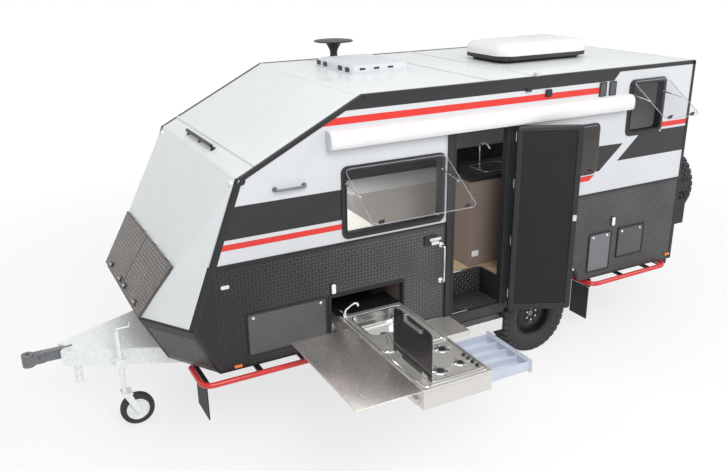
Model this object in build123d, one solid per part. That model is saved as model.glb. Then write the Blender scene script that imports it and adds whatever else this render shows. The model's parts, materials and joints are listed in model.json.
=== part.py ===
from build123d import *
import os
from math import atan2, cos, degrees, hypot, pi, radians, sin

# Off-road camper trailer with a hard body, a truncated V nose and its kitchen slid out.
# Millimetres. +X runs to the rear, -Y is the door side, +Z is up and the ground is z = 0.
# Shapes are drawn with x = 0 over the axle and y = 0 on the centreline. They are written out
# with the origin under the middle of the whole parked trailer, at centre_x and centre_y.

# Driving dimensions of the body
half_width = 1140
roof_top = 2850
skirt_bottom = 700
clad_top = 1631
wall = 40
roof_front, roof_rear = -1995, 1831
knee_x, knee_z = -3066, 2308
nose_x, nose_z = -3840, 1120
nose_half = 660
nose_side_x = -3526
chamfer_side_x, chamfer_front_x = -3320, -3634
floor_low, floor_high = 930, 970
storage_floor_top = skirt_bottom + wall

# Driving dimensions of the running gear
tyre_radius = 400
tyre_half = 132
rim_radius = 216
track_half = 964
rail_low, rail_high = 550, 700
rail_in, rail_out = 480, 540
coupling_x = -4690
lug_count = 20
lug_depth = 14

# Driving dimensions of the doorway and of the door, hinged at its rear edge
door_left, door_right = -1100, -520
door_low, door_high = 655, 2425
door_hinge = (-462, -1196)
door_open = 154
door_width = 606

# Driving dimensions of the kitchen
kitchen_x = (-2245, -1640)
kitchen_y = (-2505, -860)
kitchen_z = (785, 935)
worktop_top = 950
shelf_pivot = (-2252, 972)
lid_pivot = (-2155, 965)

# What reaches furthest at rest: coupling head, spare wheels, kitchen shelf and far side rail
coupling_radius = 52
spare_x, spare_y, spare_z = 2015, 680, 1460
shelf_end = -2515
side_rail_y, side_rail_radius = 1215, 24
centre_x = (coupling_x - coupling_radius + spare_x + tyre_half) / 2
centre_y = (shelf_end + side_rail_y + side_rail_radius) / 2

pieces = {}


def block(x, y, z):
    """A box from three pairs of limits."""
    size = [pair[1] - pair[0] for pair in (x, y, z)]
    middle = [(pair[0] + pair[1]) / 2 for pair in (x, y, z)]
    return Pos(*middle) * Box(*size)


def plate(outline, y):
    """An X-Z outline carried across from one y to another."""
    face = Face(Wire.make_polygon([(x, y[0], z) for x, z in outline], close=True))
    return extrude(face, amount=y[1] - y[0], dir=(0, 1, 0))


def flat(outline, z):
    """An X-Y outline carried up from one z to another."""
    face = Face(Wire.make_polygon([(x, y, z[0]) for x, y in outline], close=True))
    return extrude(face, amount=z[1] - z[0], dir=(0, 0, 1))


def rounded(x, z, y, radius):
    """A plate in the X-Z plane with round corners."""
    face = Rectangle(x[1] - x[0], z[1] - z[0])
    face = fillet(face.vertices(), radius)
    middle = ((x[0] + x[1]) / 2, y[0], (z[0] + z[1]) / 2)
    place = Plane(origin=middle, x_dir=(1, 0, 0), z_dir=(0, 1, 0))
    return extrude(place * face, amount=y[1] - y[0], dir=(0, 1, 0))


def rod(start, end, radius, hollow=0):
    """A round bar, or a tube if hollow is its inner radius."""
    axis = Vector(*end) - Vector(*start)
    place = Plane(origin=start, z_dir=axis.normalized())
    lift = (Align.CENTER, Align.CENTER, Align.MIN)
    solid = Cylinder(radius, axis.length, align=lift)
    if hollow:
        solid -= Cylinder(hollow, axis.length, align=lift)
    return place * solid


def pipe(points, radius, bend):
    """A round bar bent through points."""
    path = FilletPolyline(*points, radius=bend)
    start = Plane(origin=path @ 0, z_dir=path % 0)
    return sweep(start * Circle(radius), path=path)


def bar(start, end, width, z):
    """A flat-lying box section between two X-Y points."""
    dx, dy = end[0] - start[0], end[1] - start[1]
    length = hypot(dx, dy)
    turn = degrees(atan2(dy, dx))
    middle = ((start[0] + end[0]) / 2, (start[1] + end[1]) / 2, (z[0] + z[1]) / 2)
    return Pos(*middle) * Rot(0, 0, turn) * Box(length, width, z[1] - z[0])


def turned(profile, centre):
    """A ring turned about a Y axis from (radius, y) corners."""
    face = Face(Wire.make_polygon([(radius, y, 0) for radius, y in profile], close=True))
    return Pos(*centre) * revolve(face, axis=Axis.Y)


def far(shape):
    """The same shape on the far side."""
    return mirror(shape, about=Plane.XZ)


def both(shape):
    return [shape, far(shape)]


def add(name, *shapes):
    """Give solids to one sub-part. What touches is fused when the sub-part is written."""
    pieces.setdefault(name, []).extend(solid for shape in shapes for solid in shape.solids())


def write_all():
    """Write each sub-part, moved so that the origin is under the middle of the trailer."""
    os.makedirs("parts", exist_ok=True)
    low, high = Vector(9e9, 9e9, 9e9), Vector(-9e9, -9e9, -9e9)
    for name, solids in pieces.items():
        fused = solids[0].fuse(*solids[1:]) if len(solids) > 1 else solids[0]
        moved = [Pos(-centre_x, -centre_y, 0) * solid for solid in fused.solids()]
        whole = moved[0] if len(moved) == 1 else Compound(children=moved)
        export_step(whole, f"parts/{name}.step")
        box = whole.bounding_box()
        low = Vector(min(low.X, box.min.X), min(low.Y, box.min.Y), min(low.Z, box.min.Z))
        high = Vector(max(high.X, box.max.X), max(high.Y, box.max.Y), max(high.Z, box.max.Z))
    print("sub-parts", len(pieces), "from", low, "to", high)


def body_form(inset):
    """The closed outer form of the body, with every face moved in by inset."""
    profile = [
        (roof_rear, skirt_bottom), (roof_rear, roof_top), (roof_front, roof_top), (knee_x, knee_z),
        (nose_x, nose_z), (chamfer_front_x, skirt_bottom),
    ]
    side = Face(Wire.make_polygon([(x, z, 0) for x, z in profile], close=True))
    if inset:
        side = offset(side, amount=-inset, kind=Kind.INTERSECTION)
    depth = half_width - inset
    upright = Plane(origin=(0, 0, 0), x_dir=(1, 0, 0), z_dir=(0, -1, 0))
    form = extrude(upright * side, amount=depth, both=True)
    fold = (nose_x, -nose_half, nose_z)
    facets = [
        [(knee_x, -half_width, knee_z), fold, (nose_side_x, -half_width, nose_z)],
        [(chamfer_side_x, -half_width, skirt_bottom), (nose_side_x, -half_width, nose_z), fold],
    ]
    for facet in facets:
        a, b, c = [Vector(*point) for point in facet]
        normal = (b - a).cross(c - a).normalized()
        if normal.Y > 0:
            normal = -normal
        form = split(form, bisect_by=Plane(origin=a - normal * inset, z_dir=normal), keep=Keep.BOTTOM)
        mirrored = Vector(normal.X, -normal.Y, normal.Z)
        across = Vector(a.X, -a.Y, a.Z)
        form = split(form, bisect_by=Plane(origin=across - mirrored * inset, z_dir=mirrored), keep=Keep.BOTTOM)
    return form


# Openings of the door side wall, as name: x, z
wheel_arch = [(-500, 600), (-500, 760), (-430, 860), (-320, 925), (330, 925), (455, 840), (560, 600)]
kitchen_mouth = ((-2325, -1619), (770, 1153))
rear_hatch = ((985, 1362), (866, 1200))
wheel_hatch = ((590, 900), (770, 1195))
front_hatch = ((-3088, -2360), (790, 1178))
windows = {
    "bed": ((-2190, -1200), (1670, 2275), 50),
    "dinette": ((-60, 590), (1855, 2340), 0),
    "rear": ((955, 1430), (2180, 2715), 50),
}
window_corner = 60
window_rim = 35


def frame_cut(x, z):
    return block(x, (-half_width - 50, -half_width + wall + 20), z)


def body_shell():
    """Walls, roof and nose, cut where the real panels meet."""
    shell = body_form(0) - body_form(wall)
    long_x = (-4000, 2000)
    inner = (-half_width + wall, half_width - wall)
    side = block(long_x, (-half_width - 10, -half_width + wall), (0, 3000))
    near = shell & side
    upper = near & block(long_x, (-2000, 0), (clad_top, 3000))
    lower = near & block(long_x, (-2000, 0), (0, clad_top))
    cuts = [rounded(x, z, (-half_width - 20, -half_width + wall + 20), window_corner)
            for x, z, angle in windows.values()]
    arch = plate(wheel_arch, (-half_width - 20, -half_width + wall + 20))
    doorway = frame_cut((door_left, door_right), (600, door_high))
    upper_cut = upper - cuts
    lower_far = lower - arch
    lower_cut = lower_far - [doorway, frame_cut(*kitchen_mouth), frame_cut(*rear_hatch)]
    add("upper_wall_near", upper_cut - doorway)
    add("lower_wall_near", lower_cut)
    add("upper_wall_far", far(upper_cut))
    add("lower_wall_far", far(lower_far))
    middle = shell & block(long_x, inner, (0, 3000))  # all that lies between the two side walls
    seam_x = -2930
    add("roof_panel", middle & block((roof_front, roof_rear - wall), inner, (2600, 3000)))
    add("front_slope", middle & block((seam_x, roof_front), inner, (2000, 3000)))
    add("rear_wall", middle & block((roof_rear - wall, 2000), inner, (0, 3000)))
    nose = middle & block((-4000, seam_x), inner, (storage_floor_top, 3000))
    add("nose_upper", (nose & block((-4000, seam_x), inner, (nose_z, 3000))) - boot_openings())
    add("nose_lower", nose & block((-4000, seam_x), inner, (storage_floor_top, nose_z)))
    floor = middle & block((-4000, door_left - 150), inner, (0, storage_floor_top))
    add("storage_floor", floor)
    add("storage_floor", block((-3060, -3030), inner, (storage_floor_top, 2200)))


# The two boot doors lie on the sloping middle face of the nose
slope = Vector(nose_x - knee_x, 0, nose_z - knee_z).normalized()
outward = Vector(slope.Z, 0, -slope.X).normalized()
boot_top = 880
boot_length = 520
boot_gap = 12


def on_nose(down, across, out):
    """A point on the middle face of the nose: down from the knee, across and out."""
    point = Vector(knee_x, 0, knee_z) + slope * down + outward * out
    return Vector(point.X, across, point.Z)


def nose_slab(corners, low, high):
    """A slab on the nose face from (down, across) corners, between two heights off it."""
    face = Face(Wire.make_polygon([on_nose(down, across, low) for down, across in corners], close=True))
    return extrude(face, amount=high - low, dir=outward)


def boot_corners(side, margin):
    """Corners of one boot door, which widens upwards. Side is -1 near or 1 far."""
    top_half, low_half = 815, 690
    top, low = boot_top + margin, boot_top + boot_length - margin
    return [
        (top, side * (boot_gap / 2 + margin)), (top, side * (top_half - margin)),
        (low, side * (low_half - margin)), (low, side * (boot_gap / 2 + margin)),
    ]


def boot_openings():
    return [nose_slab(boot_corners(side, 45), -200, 100) for side in (-1, 1)]


def boot_doors():
    for name, side in (("boot_door_near", -1), ("boot_door_far", 1)):
        add(name, nose_slab(boot_corners(side, 0), 3, 25))
        for across in (90, 480):
            low, high = side * across - 30, side * across + 30
            add(name, nose_slab([(1330, low), (1330, high), (1372, high), (1372, low)], 25, 40))
    for middle in (-620, -200, 200, 620):
        left, right = middle - 45, middle + 45
        high, low = boot_top - 16, boot_top - 2
        add("hinges", nose_slab([(high, left), (high, right), (low, right), (low, left)], 0, 9),
            rod(tuple(on_nose(boot_top - 8, left, 9)), tuple(on_nose(boot_top - 8, right, 9)), 6))


def cabin():
    """Floor, step well, and the furniture that shows through the door and windows."""
    inner = (-half_width + wall, half_width - wall)
    well_x, well_y = (door_left - 10, door_right + 10), (-half_width + wall, -810)
    floor = block((door_left - 150, roof_rear - wall), inner, (floor_low, floor_high))
    floor -= block(well_x, well_y, (900, 1000))
    add("cabin_floor", floor)
    outer = block(well_x, (-half_width + wall, -810), (690, floor_low + 30))
    hollow = block((well_x[0] + 12, well_x[1] - 12), (-half_width - 10, -822), (702, 1100))
    add("cabin_floor", outer - hollow)
    add("storage_floor", block((door_left - 150, door_left - 120), inner, (storage_floor_top, floor_low)))
    add("furniture", block((-650, 300), (-790, -280), (floor_high, 1850)))
    add("furniture", block((-670, 320), (-810, -270), (1850, 1885)))
    add("furniture", block((-1240, 1150), (560, 1098), (floor_high, 1450)))
    add("furniture", block((-1240, 1150), (780, 1098), (2300, 2780)))
    add("furniture", block((-3028, -1560), (-1098, 1098), (1200, 1240)))
    add("furniture", block((-1600, -1560), (-1098, 1098), (storage_floor_top, 1200)))
    add("bedding", block((-3000, -1600), (-1060, 1060), (1240, 1400)))
    add("bedding", *both(block((-2960, -2560), (-980, -380), (1400, 1520))))
    risers = [block((x, x + 60), inner, (rail_high, floor_low)) for x in (-1150, 700, 1500)]
    add("cross_members", *[riser - block(well_x, (-2000, -790), (0, 3000)) for riser in risers])


def doorway():
    """Black surround of the doorway, and the door with its clipped screen, swung open."""
    rim = block((-1164, door_right + 50), (-half_width - 20, -half_width), (door_low, 2444))
    rim -= block((door_left + 20, door_right - 5), (-1300, -1000), (600, door_high))
    add("door_surround", rim)
    hinge_x, hinge_y = door_hinge
    swing = Pos(hinge_x, hinge_y, 0) * Rot(0, 0, door_open) * Pos(-hinge_x, -hinge_y, 0)
    x = (hinge_x - door_width, hinge_x - 6)
    z = (641, 2441)
    leaf = rounded(x, z, (hinge_y - 26, hinge_y + 4), 30)
    add("entry_door", swing * leaf)
    screen = rounded(x, z, (hinge_y + 6, hinge_y + 30), 30)
    for low, high in ((700, 1500), (1620, 2390)):
        screen -= block((x[0] + 55, x[1] - 55), (hinge_y + 12, hinge_y + 40), (low, high))
    add("screen_door", swing * screen)
    catch = block((x[0] + 4, x[0] + 70), (hinge_y + 30, hinge_y + 62), (1540, 1600))
    add("screen_door", swing * catch)
    for low in (760, 1300, 1860, 2300):
        outside = block((-600, 0), (-2000, -half_width), (0, 3000))
        strap = bar((hinge_x, hinge_y), (hinge_x + 14, -half_width), 4, (low, low + 90))
        add("hinges", rod((hinge_x, hinge_y, low), (hinge_x, hinge_y, low + 90), 4.5), strap & outside)


def window_parts():
    """Window frames and panes, alike on both sides, with the awning panes propped open."""
    frames, near, away = [], [], []
    for x, z, angle in windows.values():
        outer = (x[0] - 12, x[1] + 12), (z[0] - 12, z[1] + 12)
        inner = (x[0] + window_rim, x[1] - window_rim), (z[0] + window_rim, z[1] - window_rim)
        ring = rounded(*outer, (-half_width - 14, -half_width), window_corner)
        ring -= rounded(*inner, (-half_width - 60, -half_width + 90), window_corner - 20)
        frames += both(ring)
        pane_x, pane_z = (x[0] + 6, x[1] - 6), (z[0] + 6, z[1] - 6)
        pane = rounded(pane_x, pane_z, (-half_width - 32, -half_width - 20), window_corner - 6)
        away.append(far(pane))
        pivot = (0, -half_width - 26, z[1])
        near.append(Pos(*pivot) * Rot(-angle, 0, 0) * Pos(-pivot[0], -pivot[1], -pivot[2]) * pane)
    add("window_frames", *frames)
    add("window_panes", *near, *away)
    stays = []
    for name in ("bed", "rear"):
        x, z, angle = windows[name]
        length = (z[1] - z[0]) * 0.72
        top = (-half_width - 8, z[0] + 60)
        tip_y = -half_width - 26 - length * sin(radians(angle)) + 12
        tip_z = z[1] - length * cos(radians(angle)) - 12
        for stay_x in (x[0] + 22, x[1] - 22):
            stays.append(rod((stay_x, top[0] - 6, top[1]), (stay_x, tip_y, tip_z), 5))
    add("window_frames", *stays)


def hatches():
    """Service hatches of the door side and the matching ones opposite."""
    x, z = rear_hatch
    add("rear_hatch", block((x[0] + 6, x[1] - 6), (-half_width - 6, -half_width + 24), (z[0] + 8, z[1] - 8)))
    add("hinges", block((x[0], x[1]), (-half_width + 30, -half_width + wall), (z[0], z[0] + 14)))
    outside = (-half_width - 10, -half_width)
    add("service_hatches", *[block(x, outside, z) for x, z in (front_hatch, wheel_hatch)])
    add("service_hatches", *[far(block(x, outside, z)) for x, z in (front_hatch, wheel_hatch, rear_hatch)])
    x, z = kitchen_mouth
    ring = block((x[0] - 22, x[1] + 22), (-half_width - 12, -half_width), (z[0] - 22, z[1] + 22)) - frame_cut(x, z)
    add("service_hatches", ring)


def kitchen():
    """Slide-out kitchen: box, worktop with bowl and hob, lid, side shelf and drawer."""
    x, y, z = kitchen_x, kitchen_y, kitchen_z
    skin = 12
    box = block(x, y, z)
    box -= block((x[0] + skin, x[1] - skin), (y[0] + skin, y[1] - skin), (z[0] + skin, z[1] + 10))
    box -= block((x[1] - 60, x[1] + 10), (-2482, -1918), (812, 906))
    add("kitchen_box", box)
    bowl = block((-2165, -1720), (-1590, -1190), (815, worktop_top))
    top = block((x[0] - 6, x[1] + 6), (y[0] - 6, y[1]), (z[1], worktop_top)) - bowl
    top += block((-2175, -1710), (-1600, -1180), (805, z[1])) - bowl
    grooves = [block((-2120 + 60 * i, -2095 + 60 * i), (-1830, -1640), (worktop_top - 4, worktop_top + 1)) for i in range(7)]
    top -= grooves
    add("kitchen_top", top)
    tap = pipe([(-2195, -1140, worktop_top), (-2195, -1140, 1110), (-2080, -1230, 1110), (-2070, -1238, 1060)], 11, 24)
    add("kitchen_top", tap)
    burners = []
    for bx, by, r in ((-1990, -2330, 62), (-1790, -2300, 50), (-1990, -2060, 50), (-1790, -2050, 62)):
        burners.append(rod((bx, by, worktop_top), (bx, by, worktop_top + 5), r))
    add("kitchen_top", *burners)
    lx, lz = lid_pivot
    lid = block((lx - 4, lx + 4), (-2465, -1919), (lz + 6, lz + 396))
    lid = fillet(lid.edges().filter_by(Axis.X).group_by(Axis.Z)[-1], 45)
    add("hob_lid", lid)
    add("hinges", *[block((lx - 12, lx - 6), (c - 30, c + 30), (worktop_top, lz + 4)) for c in (-2380, -2010)])
    sx, sz = shelf_pivot
    add("side_shelf", block((-2800, sx - 8), (shelf_end, -1377), (944, 956)))
    add("hinges", *[block((sx - 5, sx - 1), (c - 40, c + 40), (900, 941)) for c in (-2400, -1950, -1500)])
    drawer = block((-1700, -1252), (-2474, -1926), (820, 900)) - block((-1690, -1262), (-2464, -1936), (832, 910))
    for wall_y in (-2330, -2200, -2070):
        drawer += block((-1690, -1262), (wall_y - 4, wall_y + 4), (826, 888))
    drawer += block((-1252, -1240), (-2488, -1912), (806, 912))
    add("cutlery_drawer", drawer)
    slides = [block((x[0] - 24, x[0]), (-2440, -500), (800, 845)),
              block((x[1], x[1] + 20), (-1800, -500), (800, 845))]
    add("kitchen_box", *slides)
    feet = [block((x[0] - 60, x[0] - 24), (-1060, -500), (storage_floor_top, 860)),
            block((x[1] + 20, x[1] + 38), (-1060, -500), (storage_floor_top, 860))]
    add("kitchen_box", *feet)


def running_gear():
    """Rails, drawbar, coupling, jockey wheel, suspension and wheels."""
    for name, side in (("near", -1), ("far", 1)):
        y = sorted((side * rail_in, side * rail_out))
        add(f"chassis_rail_{name}", block((-3420, roof_rear - wall), y, (rail_low, rail_high)))
        arm = bar((-4420, side * 62), (-3420, side * 530), 50, (rail_low, rail_high))
        arm -= block((-3420, -3000), (-1000, 1000), (0, 1000))
        arm -= block((-5000, -3000), sorted((0, -side * 900)), (0, 1000))
        arm -= block((-5000, -3000), sorted((0, side * 22)), (0, 1000))
        add(f"chassis_rail_{name}", arm)
    cross = [block((x, x + 60), (-rail_in, rail_in), (590, rail_high))
             for x in (-3400, -2300, -1200, -450, 450, 1700)]
    add("cross_members", *cross)
    cover = flat([(-4390, -95), (-3660, -445), (-3660, 445), (-4390, 95)], (rail_high, rail_high + 8))
    add("drawbar_cover", cover)
    tongue = block((-4640, -4400), (-22, 22), (600, 700))
    head = rod((coupling_x, 0, 590), (coupling_x, 0, 700), coupling_radius)
    head += block((coupling_x, -4560), (-45, 45), (605, 690))
    head -= rod((coupling_x, 0, 500), (coupling_x, 0, 800), 17.5)
    add("coupling_head", head)
    add("coupling_head", tongue - block((-4800, -4560), (-100, 100), (0, 1000)))
    lever = pipe([(-4600, -52, 660), (-4600, -100, 735), (-4330, -100, 745)], 8, 20)
    lever += rod((-4600, -45, 660), (-4600, -55, 660), 8)
    add("coupling_head", lever)
    chains()
    jockey()
    suspension()
    wheel("wheel_near", -track_half, -1)
    wheel("wheel_far", track_half, 1)
    spare()


def chains():
    """Two short safety chains that hang from the drawbar, link by link."""
    link_length, bar_radius, link_half = 46, 4, 12
    hole_z = 540
    links = []
    for x in (-4330, -4290):
        for i in range(6):
            z = hole_z + bar_radius - link_length / 2 - i * (link_length - 4 * bar_radius - 1)
            path = SlotOverall(link_length - 2 * bar_radius, 2 * link_half).wire()
            ring = sweep(Plane(origin=path @ 0, z_dir=path % 0) * Circle(bar_radius), path=path)
            turn = Rot(0, 0, 90 * (i % 2)) * Rot(0, 90, 0)
            links.append(Pos(x, -90, z) * turn * ring)
    add("safety_chains", *links)
    for x in (-4330, -4290):
        lug = block((x - 14, x + 14), (-92, -88), (518, rail_low))
        add("chassis_rail_near", lug - rod((x, -100, hole_z), (x, -80, hole_z), 7.5))


jockey_x, jockey_y, jockey_radius = -3990, -400, 150
jockey_trail = 90


def jockey():
    """Jockey wheel: clamped outer tube, swivelling fork and the wheel."""
    tube = rod((jockey_x, jockey_y, 480), (jockey_x, jockey_y, 900), 24, 19.3)
    add("jockey_stand", tube)
    clamp = block((jockey_x - 45, jockey_x + 45), (jockey_y - 35, jockey_y + 40), (590, 660))
    add("jockey_stand", clamp - rod((jockey_x, jockey_y, 500), (jockey_x, jockey_y, 900), 24))
    crank = pipe([(jockey_x, jockey_y, 912), (jockey_x, jockey_y, 945), (jockey_x + 110, jockey_y, 945),
                  (jockey_x + 110, jockey_y, 990)], 7, 14)
    crank += rod((jockey_x, jockey_y, 900), (jockey_x, jockey_y, 914), 24)
    add("jockey_stand", crank)
    axle_x = jockey_x + jockey_trail
    leg = rod((jockey_x, jockey_y, 335), (jockey_x, jockey_y, 880), 19)
    crown = block((jockey_x - 30, jockey_x + 60), (jockey_y - 62, jockey_y + 62), (322, 336))
    outline = [(jockey_x - 20, 322), (jockey_x + 50, 322), (axle_x + 24, jockey_radius), (axle_x, 128),
               (axle_x - 24, jockey_radius)]
    cheeks = [plate(outline, sorted((jockey_y + s * 56, jockey_y + s * 62))) for s in (-1, 1)]
    pin = rod((axle_x, jockey_y - 56, jockey_radius), (axle_x, jockey_y + 56, jockey_radius), 9.95)
    fork = leg + crown + cheeks + pin
    add("jockey_fork", fork)
    centre = (axle_x, jockey_y, jockey_radius)
    rim = turned([(10, -46), (24, -46), (24, -14), (92, -14), (92, -34), (100, -34), (100, 34), (92, 34),
                  (92, 14), (24, 14), (24, 46), (10, 46)], centre)
    add("jockey_rim", rim)
    tyre = turned([(100, -34), (128, -40), (146, -28), (150, 0), (146, 28), (128, 40), (100, 34)], centre)
    add("jockey_tyre", tyre)


def suspension():
    """Trailing arms with stub axles, coil springs and dampers."""
    arms, springs = [], []
    arm_y = -690
    arm = plate([(-560, 430), (-560, 530), (40, 455), (60, 400), (40, 345)], (arm_y - 40, arm_y + 40))
    arm += rod((0, arm_y - 40, 400), (0, -track_half - 30, 400), 21.95)
    arm += rod((0, arm_y - 40, 400), (0, arm_y - 100, 400), 60)
    hanger = [(-620, rail_high), (-640, 560), (-600, 420), (-520, 420), (-500, 560), (-460, rail_high)]
    bracket = plate(hanger, (arm_y + 46, arm_y + 62))
    spring = rod((-120, arm_y, 478), (-120, arm_y, 690), 55)
    damper = rod((60, arm_y + 72, 430), (190, arm_y + 72, 674), 24)
    pivot = rod((-540, arm_y + 40, 480), (-540, arm_y + 46, 480), 16)
    outrigger = block((-640, 260), (arm_y - 70, -rail_out), (rail_high - 10, rail_high + 40))
    for name, side in (("near", lambda s: s), ("far", far)):
        add("suspension", side(arm + pivot))
        springs += [side(spring)]
        arms += [side(outrigger + bracket)]
    add("suspension", *springs)
    add("suspension", damper, far(damper))
    add("cross_members", *arms)


def tyre_ring():
    """An off-road tyre about the Y axis: a plain carcass under a drum of blocks across the tread."""
    half, base = tyre_half, tyre_radius - lug_depth
    carcass = turned([(rim_radius, -100), (250, -half + 6), (320, -half), (368, -half + 8), (base, -half + 32),
                      (base, half - 32), (368, half - 8), (320, half), (250, half - 6), (rim_radius, 100)],
                     (0, 0, 0))
    outline = []
    pitch = 2 * pi / lug_count
    for i in range(lug_count):
        for part, radius in ((0.06, base - 4), (0.1, tyre_radius), (0.9, tyre_radius), (0.94, base - 4)):
            angle = pitch * (i + part)
            outline.append((radius * cos(angle), radius * sin(angle)))
    drum = plate(outline, (-half + 26, half - 26)) - rod((0, -half, 0), (0, half, 0), base - 30)
    return carcass + drum


def wheel(name, y, side):
    """One road wheel: steel rim with six windows, and an all-terrain tyre. Side is -1 near, 1 far."""
    centre = (0, y, tyre_radius)
    lip, well = rim_radius - 9, rim_radius - 22
    shape = [(rim_radius, -102), (rim_radius, 102), (lip, 102), (well, 70), (well, -84), (lip, -102)]
    edge = rim_radius - 16
    face = [(22, 40), (75, 40), (100, 66), (edge, 44), (edge, 30), (100, 46), (70, 10), (22, 10)]
    rim = turned(shape, centre)
    disc = turned([(radius, out * side) for radius, out in face], centre)
    for i in range(6):
        angle = radians(60 * i)
        hole = (145 * cos(angle), tyre_radius + 145 * sin(angle))
        disc -= rod((hole[0], y - 120, hole[1]), (hole[0], y + 120, hole[1]), 28)
    add(f"{name}_rim", rim + disc)
    add(f"{name}_tyre", Pos(*centre) * tyre_ring())


def spare():
    """Two spare wheels on their carrier behind the rear wall, with its cheek plates and the rear lamps."""
    lip = rim_radius - 8
    rim = turned([(60, 20), (60, 34), (lip, 34), (lip, 102), (rim_radius, 102), (rim_radius, -102), (lip, -102),
                  (lip, 20)], (0, 0, 0))
    back = (roof_rear, roof_rear + 40)
    for side in (-1, 1):
        lie = Pos(spare_x, side * spare_y, spare_z) * Rot(0, 0, 90)
        add("spare_tyre", lie * tyre_ring())
        add("spare_rim", lie * rim)
        hub = rod((roof_rear, side * spare_y, spare_z), (spare_x + 20, side * spare_y, spare_z), 55)
        post = block(back, sorted((side * (spare_y - 60), side * (spare_y + 60))), (680, spare_z + 60))
        cheek = block((roof_rear, 1966), sorted((side * 1122, side * 1138)), (1090, 1370))
        horn = block((roof_rear, 1978), sorted((side * 1112, side * 1138)), (1460, 1570))
        add("spare_carrier", post + hub, cheek, horn)
        add("lamps", block((roof_rear, roof_rear + 30), sorted((side * 980, side * 1080)), (900, 1220)))
    beam = block(back, (-spare_y, spare_y), (spare_z - 60, spare_z + 60))
    add("spare_carrier", beam, block((roof_rear, roof_rear + 120), (-1000, 1000), (560, 680)))


def outside_fittings():
    """Awning, roof gear, side rails, flaps, lamps, vents and handles."""
    awning_x = (-2330, 930)
    cassette = block(awning_x, (-half_width - 105, -half_width), (2450, 2600))
    cassette = fillet(cassette.edges().filter_by(Axis.X).group_by(Axis.Y)[0], 40)
    add("awning_cassette", cassette)
    unit = block((0, 1150), (-350, 350), (roof_top, 3050))
    unit = chamfer(unit.edges().group_by(Axis.Z)[-1], 60)
    add("air_conditioner", unit)
    hatch = block((-1600, -950), (-190, 650), (roof_top, 2945))
    add("roof_hatch", chamfer(hatch.edges().group_by(Axis.Z)[-1], 30))
    mast = rod((-1220, 970, roof_top), (-1220, 970, 3010), 45)
    mast += rod((-1220, 970, 3010), (-1220, 970, 3060), 210)
    add("tv_antenna", mast)
    side_rails()
    add("mud_flaps", *both(block((-3472, -3462), (-1180, -880), (330, 632))))
    add("mud_flaps", *both(block((700, 712), (-1090, -840), (200, 560))))
    add("skirt_brackets", *both(block((712, 740), (-1080, -rail_out), (560, 650))))
    add("skirt_brackets", *both(block((-3462, -3422), (-1120, -565), (600, 632))))
    vents = [block((x, x + 110), (-half_width - 12, -half_width), (2612, 2725)) for x in (545, 670)]
    add("wall_fittings", *vents)
    for x, z in ((-2300, 1235), (900, 1290)):
        add("lamps", block((x - 25, x + 25), (-half_width - 22, -half_width), (z - 50, z + 50)))
    grab = [(-1210, -half_width, 1080), (-1210, -1200, 1080), (-1210, -1200, 1430), (-1210, -half_width, 1430)]
    front = [(-2780, -half_width, 2185), (-2780, -1185, 2185), (-2530, -1185, 2185), (-2530, -half_width, 2185)]
    add("wall_fittings", pipe(grab, 10, 24), pipe(front, 11, 20))
    base = on_nose(120, 0, 0)
    bar_low = Vector(base.X, -380, base.Z) + outward * 24
    bar_high = Vector(base.X, 260, base.Z) + outward * 24
    add("lamps", rod(tuple(bar_low), tuple(bar_high), 22))
    step_x = (-1080, -560)
    add("skirt_brackets", block(step_x, (-1260, -1010), (560, 590)))
    add("skirt_brackets", *[block((x, x + 10), (-1135, -800), (560, 690)) for x in (step_x[0] - 10, step_x[1])])


def side_rails():
    """Round tube rails along the lower edges, in front of and behind the doorway."""
    rail_y, rail_z, radius = -side_rail_y, 660, side_rail_radius
    front = [(-3500, -850, rail_z), (-3500, rail_y, rail_z), (-2330, rail_y, rail_z), (-2330, -1000, rail_z)]
    rise = rail_z + 15
    rear = [(585, -1000, rail_z), (640, rail_y, rail_z), (1690, rail_y, rise), (1690, -1000, rise)]
    for route in (front, rear):
        add("side_rails", *both(pipe(route, radius, 90)))
    feet = [block((x - 25, x + 25), (rail_y + radius, -rail_out), (640, 660)) for x in (-3000, -2600, 1100, 1500)]
    add("skirt_brackets", *[foot for bracket in feet for foot in both(bracket)])


body_shell()
boot_doors()
cabin()
doorway()
window_parts()
hatches()
kitchen()
running_gear()
outside_fittings()
write_all()
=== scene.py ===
import bpy
import bmesh
import json
from math import cos, pi, radians, sin
from mathutils import Matrix, Vector

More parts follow.
